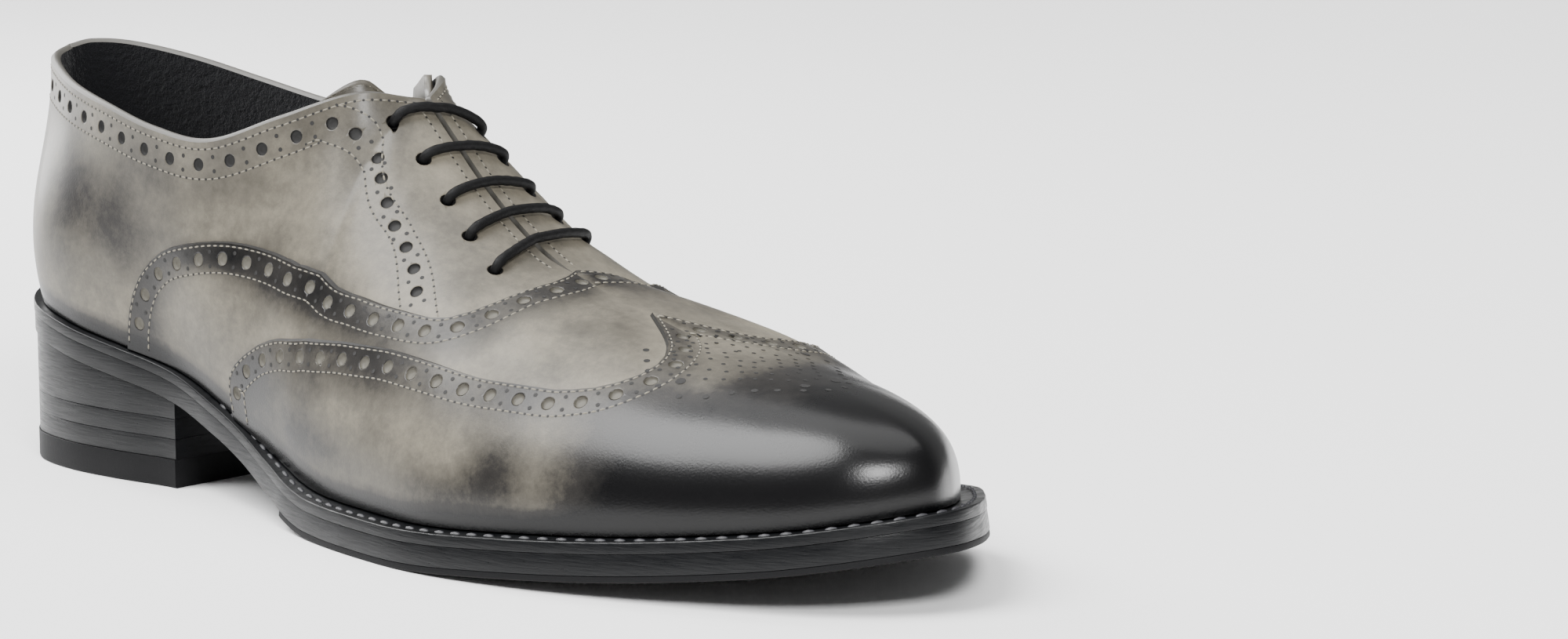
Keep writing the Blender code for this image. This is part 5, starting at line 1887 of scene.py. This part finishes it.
class SHOE_OT_stage(bpy.types.Operator):
    """Adds the pale floor, the studio lights and the camera."""

    bl_idname = "shoe.stage"
    bl_label = "Add stage"

    def execute(self, context):
        scene = context.scene
        size = 8.0
        corners = [(-size, -size, 0), (size, -size, 0), (size, size, 0), (-size, size, 0)]
        mesh = new_mesh("studio_floor", np.array(corners, float), [[0, 1, 2, 3]])
        # Paper: a pale, matt ground
        paper, _, _ = plain("white_paper", srgb("fbfbfb"), 0.9)
        mesh.materials.append(paper)
        floor = bpy.data.objects.new("studio_floor", mesh)
        scene.collection.objects.link(floor)
        world = bpy.data.worlds.new("studio_air")
        world.use_nodes = True
        world.node_tree.nodes["Background"].inputs["Color"].default_value = (1, 1, 1, 1)
        world.node_tree.nodes["Background"].inputs["Strength"].default_value = 0.30
        scene.world = world
        sun = bpy.data.lights.new("soft_window", "SUN")
        sun.energy, sun.angle = 5.2, radians(40)
        lamp = bpy.data.objects.new("soft_window", sun)
        lamp.rotation_euler = Vector((0.45, 0.62, -1.25)).to_track_quat("-Z", "Y").to_euler()
        scene.collection.objects.link(lamp)
        for name, place, target, width, height, power in STUDIO_LIGHTS:
            light = bpy.data.lights.new(name, "AREA")
            light.shape = "RECTANGLE"
            light.size, light.size_y, light.energy = width, height, power
            lamp = bpy.data.objects.new(name, light)
            lamp.location = place
            lamp.rotation_euler = (Vector(target) - Vector(place)).to_track_quat("-Z", "Y").to_euler()
            scene.collection.objects.link(lamp)
        data = bpy.data.cameras.new("camera")
        data.lens, data.sensor_width = CAMERA_LENS, 36.0
        data.clip_start, data.clip_end = 0.05, 50
        camera = bpy.data.objects.new("camera", data)
        away = Vector(CAMERA_PLACE) - Vector(CAMERA_TARGET)
        turn = away.to_track_quat("Z", "Y").to_matrix().to_4x4()
        camera.matrix_world = turn
        camera.rotation_euler.rotate_axis("Z", radians(CAMERA_ROLL))
        camera.location = CAMERA_PLACE
        scene.collection.objects.link(camera)
        scene.camera = camera
        return {"FINISHED"}


# The camera, fitted to the photograph: metres, focal length in mm and roll in degrees
CAMERA_PLACE = (0.94942, -0.91246, 0.26615)
CAMERA_TARGET = (0.08699, 0.01239, 0.05514)
CAMERA_LENS = 130.44
CAMERA_ROLL = -0.502

# Name, place, what it points at, width, height (metres) and power (watts)
STUDIO_LIGHTS = (
    ("key_softbox", (1.00, -0.62, 0.95), (0.10, 0.0, 0.03), 0.42, 0.42, 22.0),
    ("overhead", (-0.1, 0.3, 1.6), (0.0, 0.0, 0.0), 1.6, 1.2, 14.0),
    ("left_strip", (-1.0, 0.10, 0.5), (-0.1, 0.0, 0.05), 0.25, 1.0, 12.0),
)

PIECES = (SHOE_OT_upper, SHOE_OT_lining, SHOE_OT_stitches, SHOE_OT_tongue, SHOE_OT_lace,
          SHOE_OT_sole, SHOE_OT_stage)


class SHOE_PT_panel(bpy.types.Panel):
    """The shoe's pieces, sizes and colours in the sidebar."""

    bl_label = "Wingtip shoe"
    bl_space_type = "VIEW_3D"
    bl_region_type = "UI"
    bl_category = "Shoe"

    def draw(self, context):
        for group in (context.scene.shoe_sizes, context.scene.shoe_colours):
            for name in group.__annotations__:
                self.layout.prop(group, name)
        for piece in PIECES:
            self.layout.operator(piece.bl_idname)


CLASSES = (ShoeSizes, ShoeColours, *PIECES, SHOE_PT_panel)


def register():
    """Adds the classes and the scene's properties."""
    for one in CLASSES:
        bpy.utils.register_class(one)
    bpy.types.Scene.shoe_sizes = PointerProperty(type=ShoeSizes)
    bpy.types.Scene.shoe_colours = PointerProperty(type=ShoeColours)


def unregister():
    """Takes them away again."""
    del bpy.types.Scene.shoe_colours
    del bpy.types.Scene.shoe_sizes
    for one in reversed(CLASSES):
        bpy.utils.unregister_class(one)


def main():
    """Builds the dressed shoe and its stage."""
    register()
    bpy.ops.shoe.upper()
    bpy.ops.shoe.lining()
    bpy.ops.shoe.stitches()
    bpy.ops.shoe.tongue()
    bpy.ops.shoe.lace()
    bpy.ops.shoe.sole()
    bpy.ops.shoe.stage()


if __name__ == "__main__":
    main()
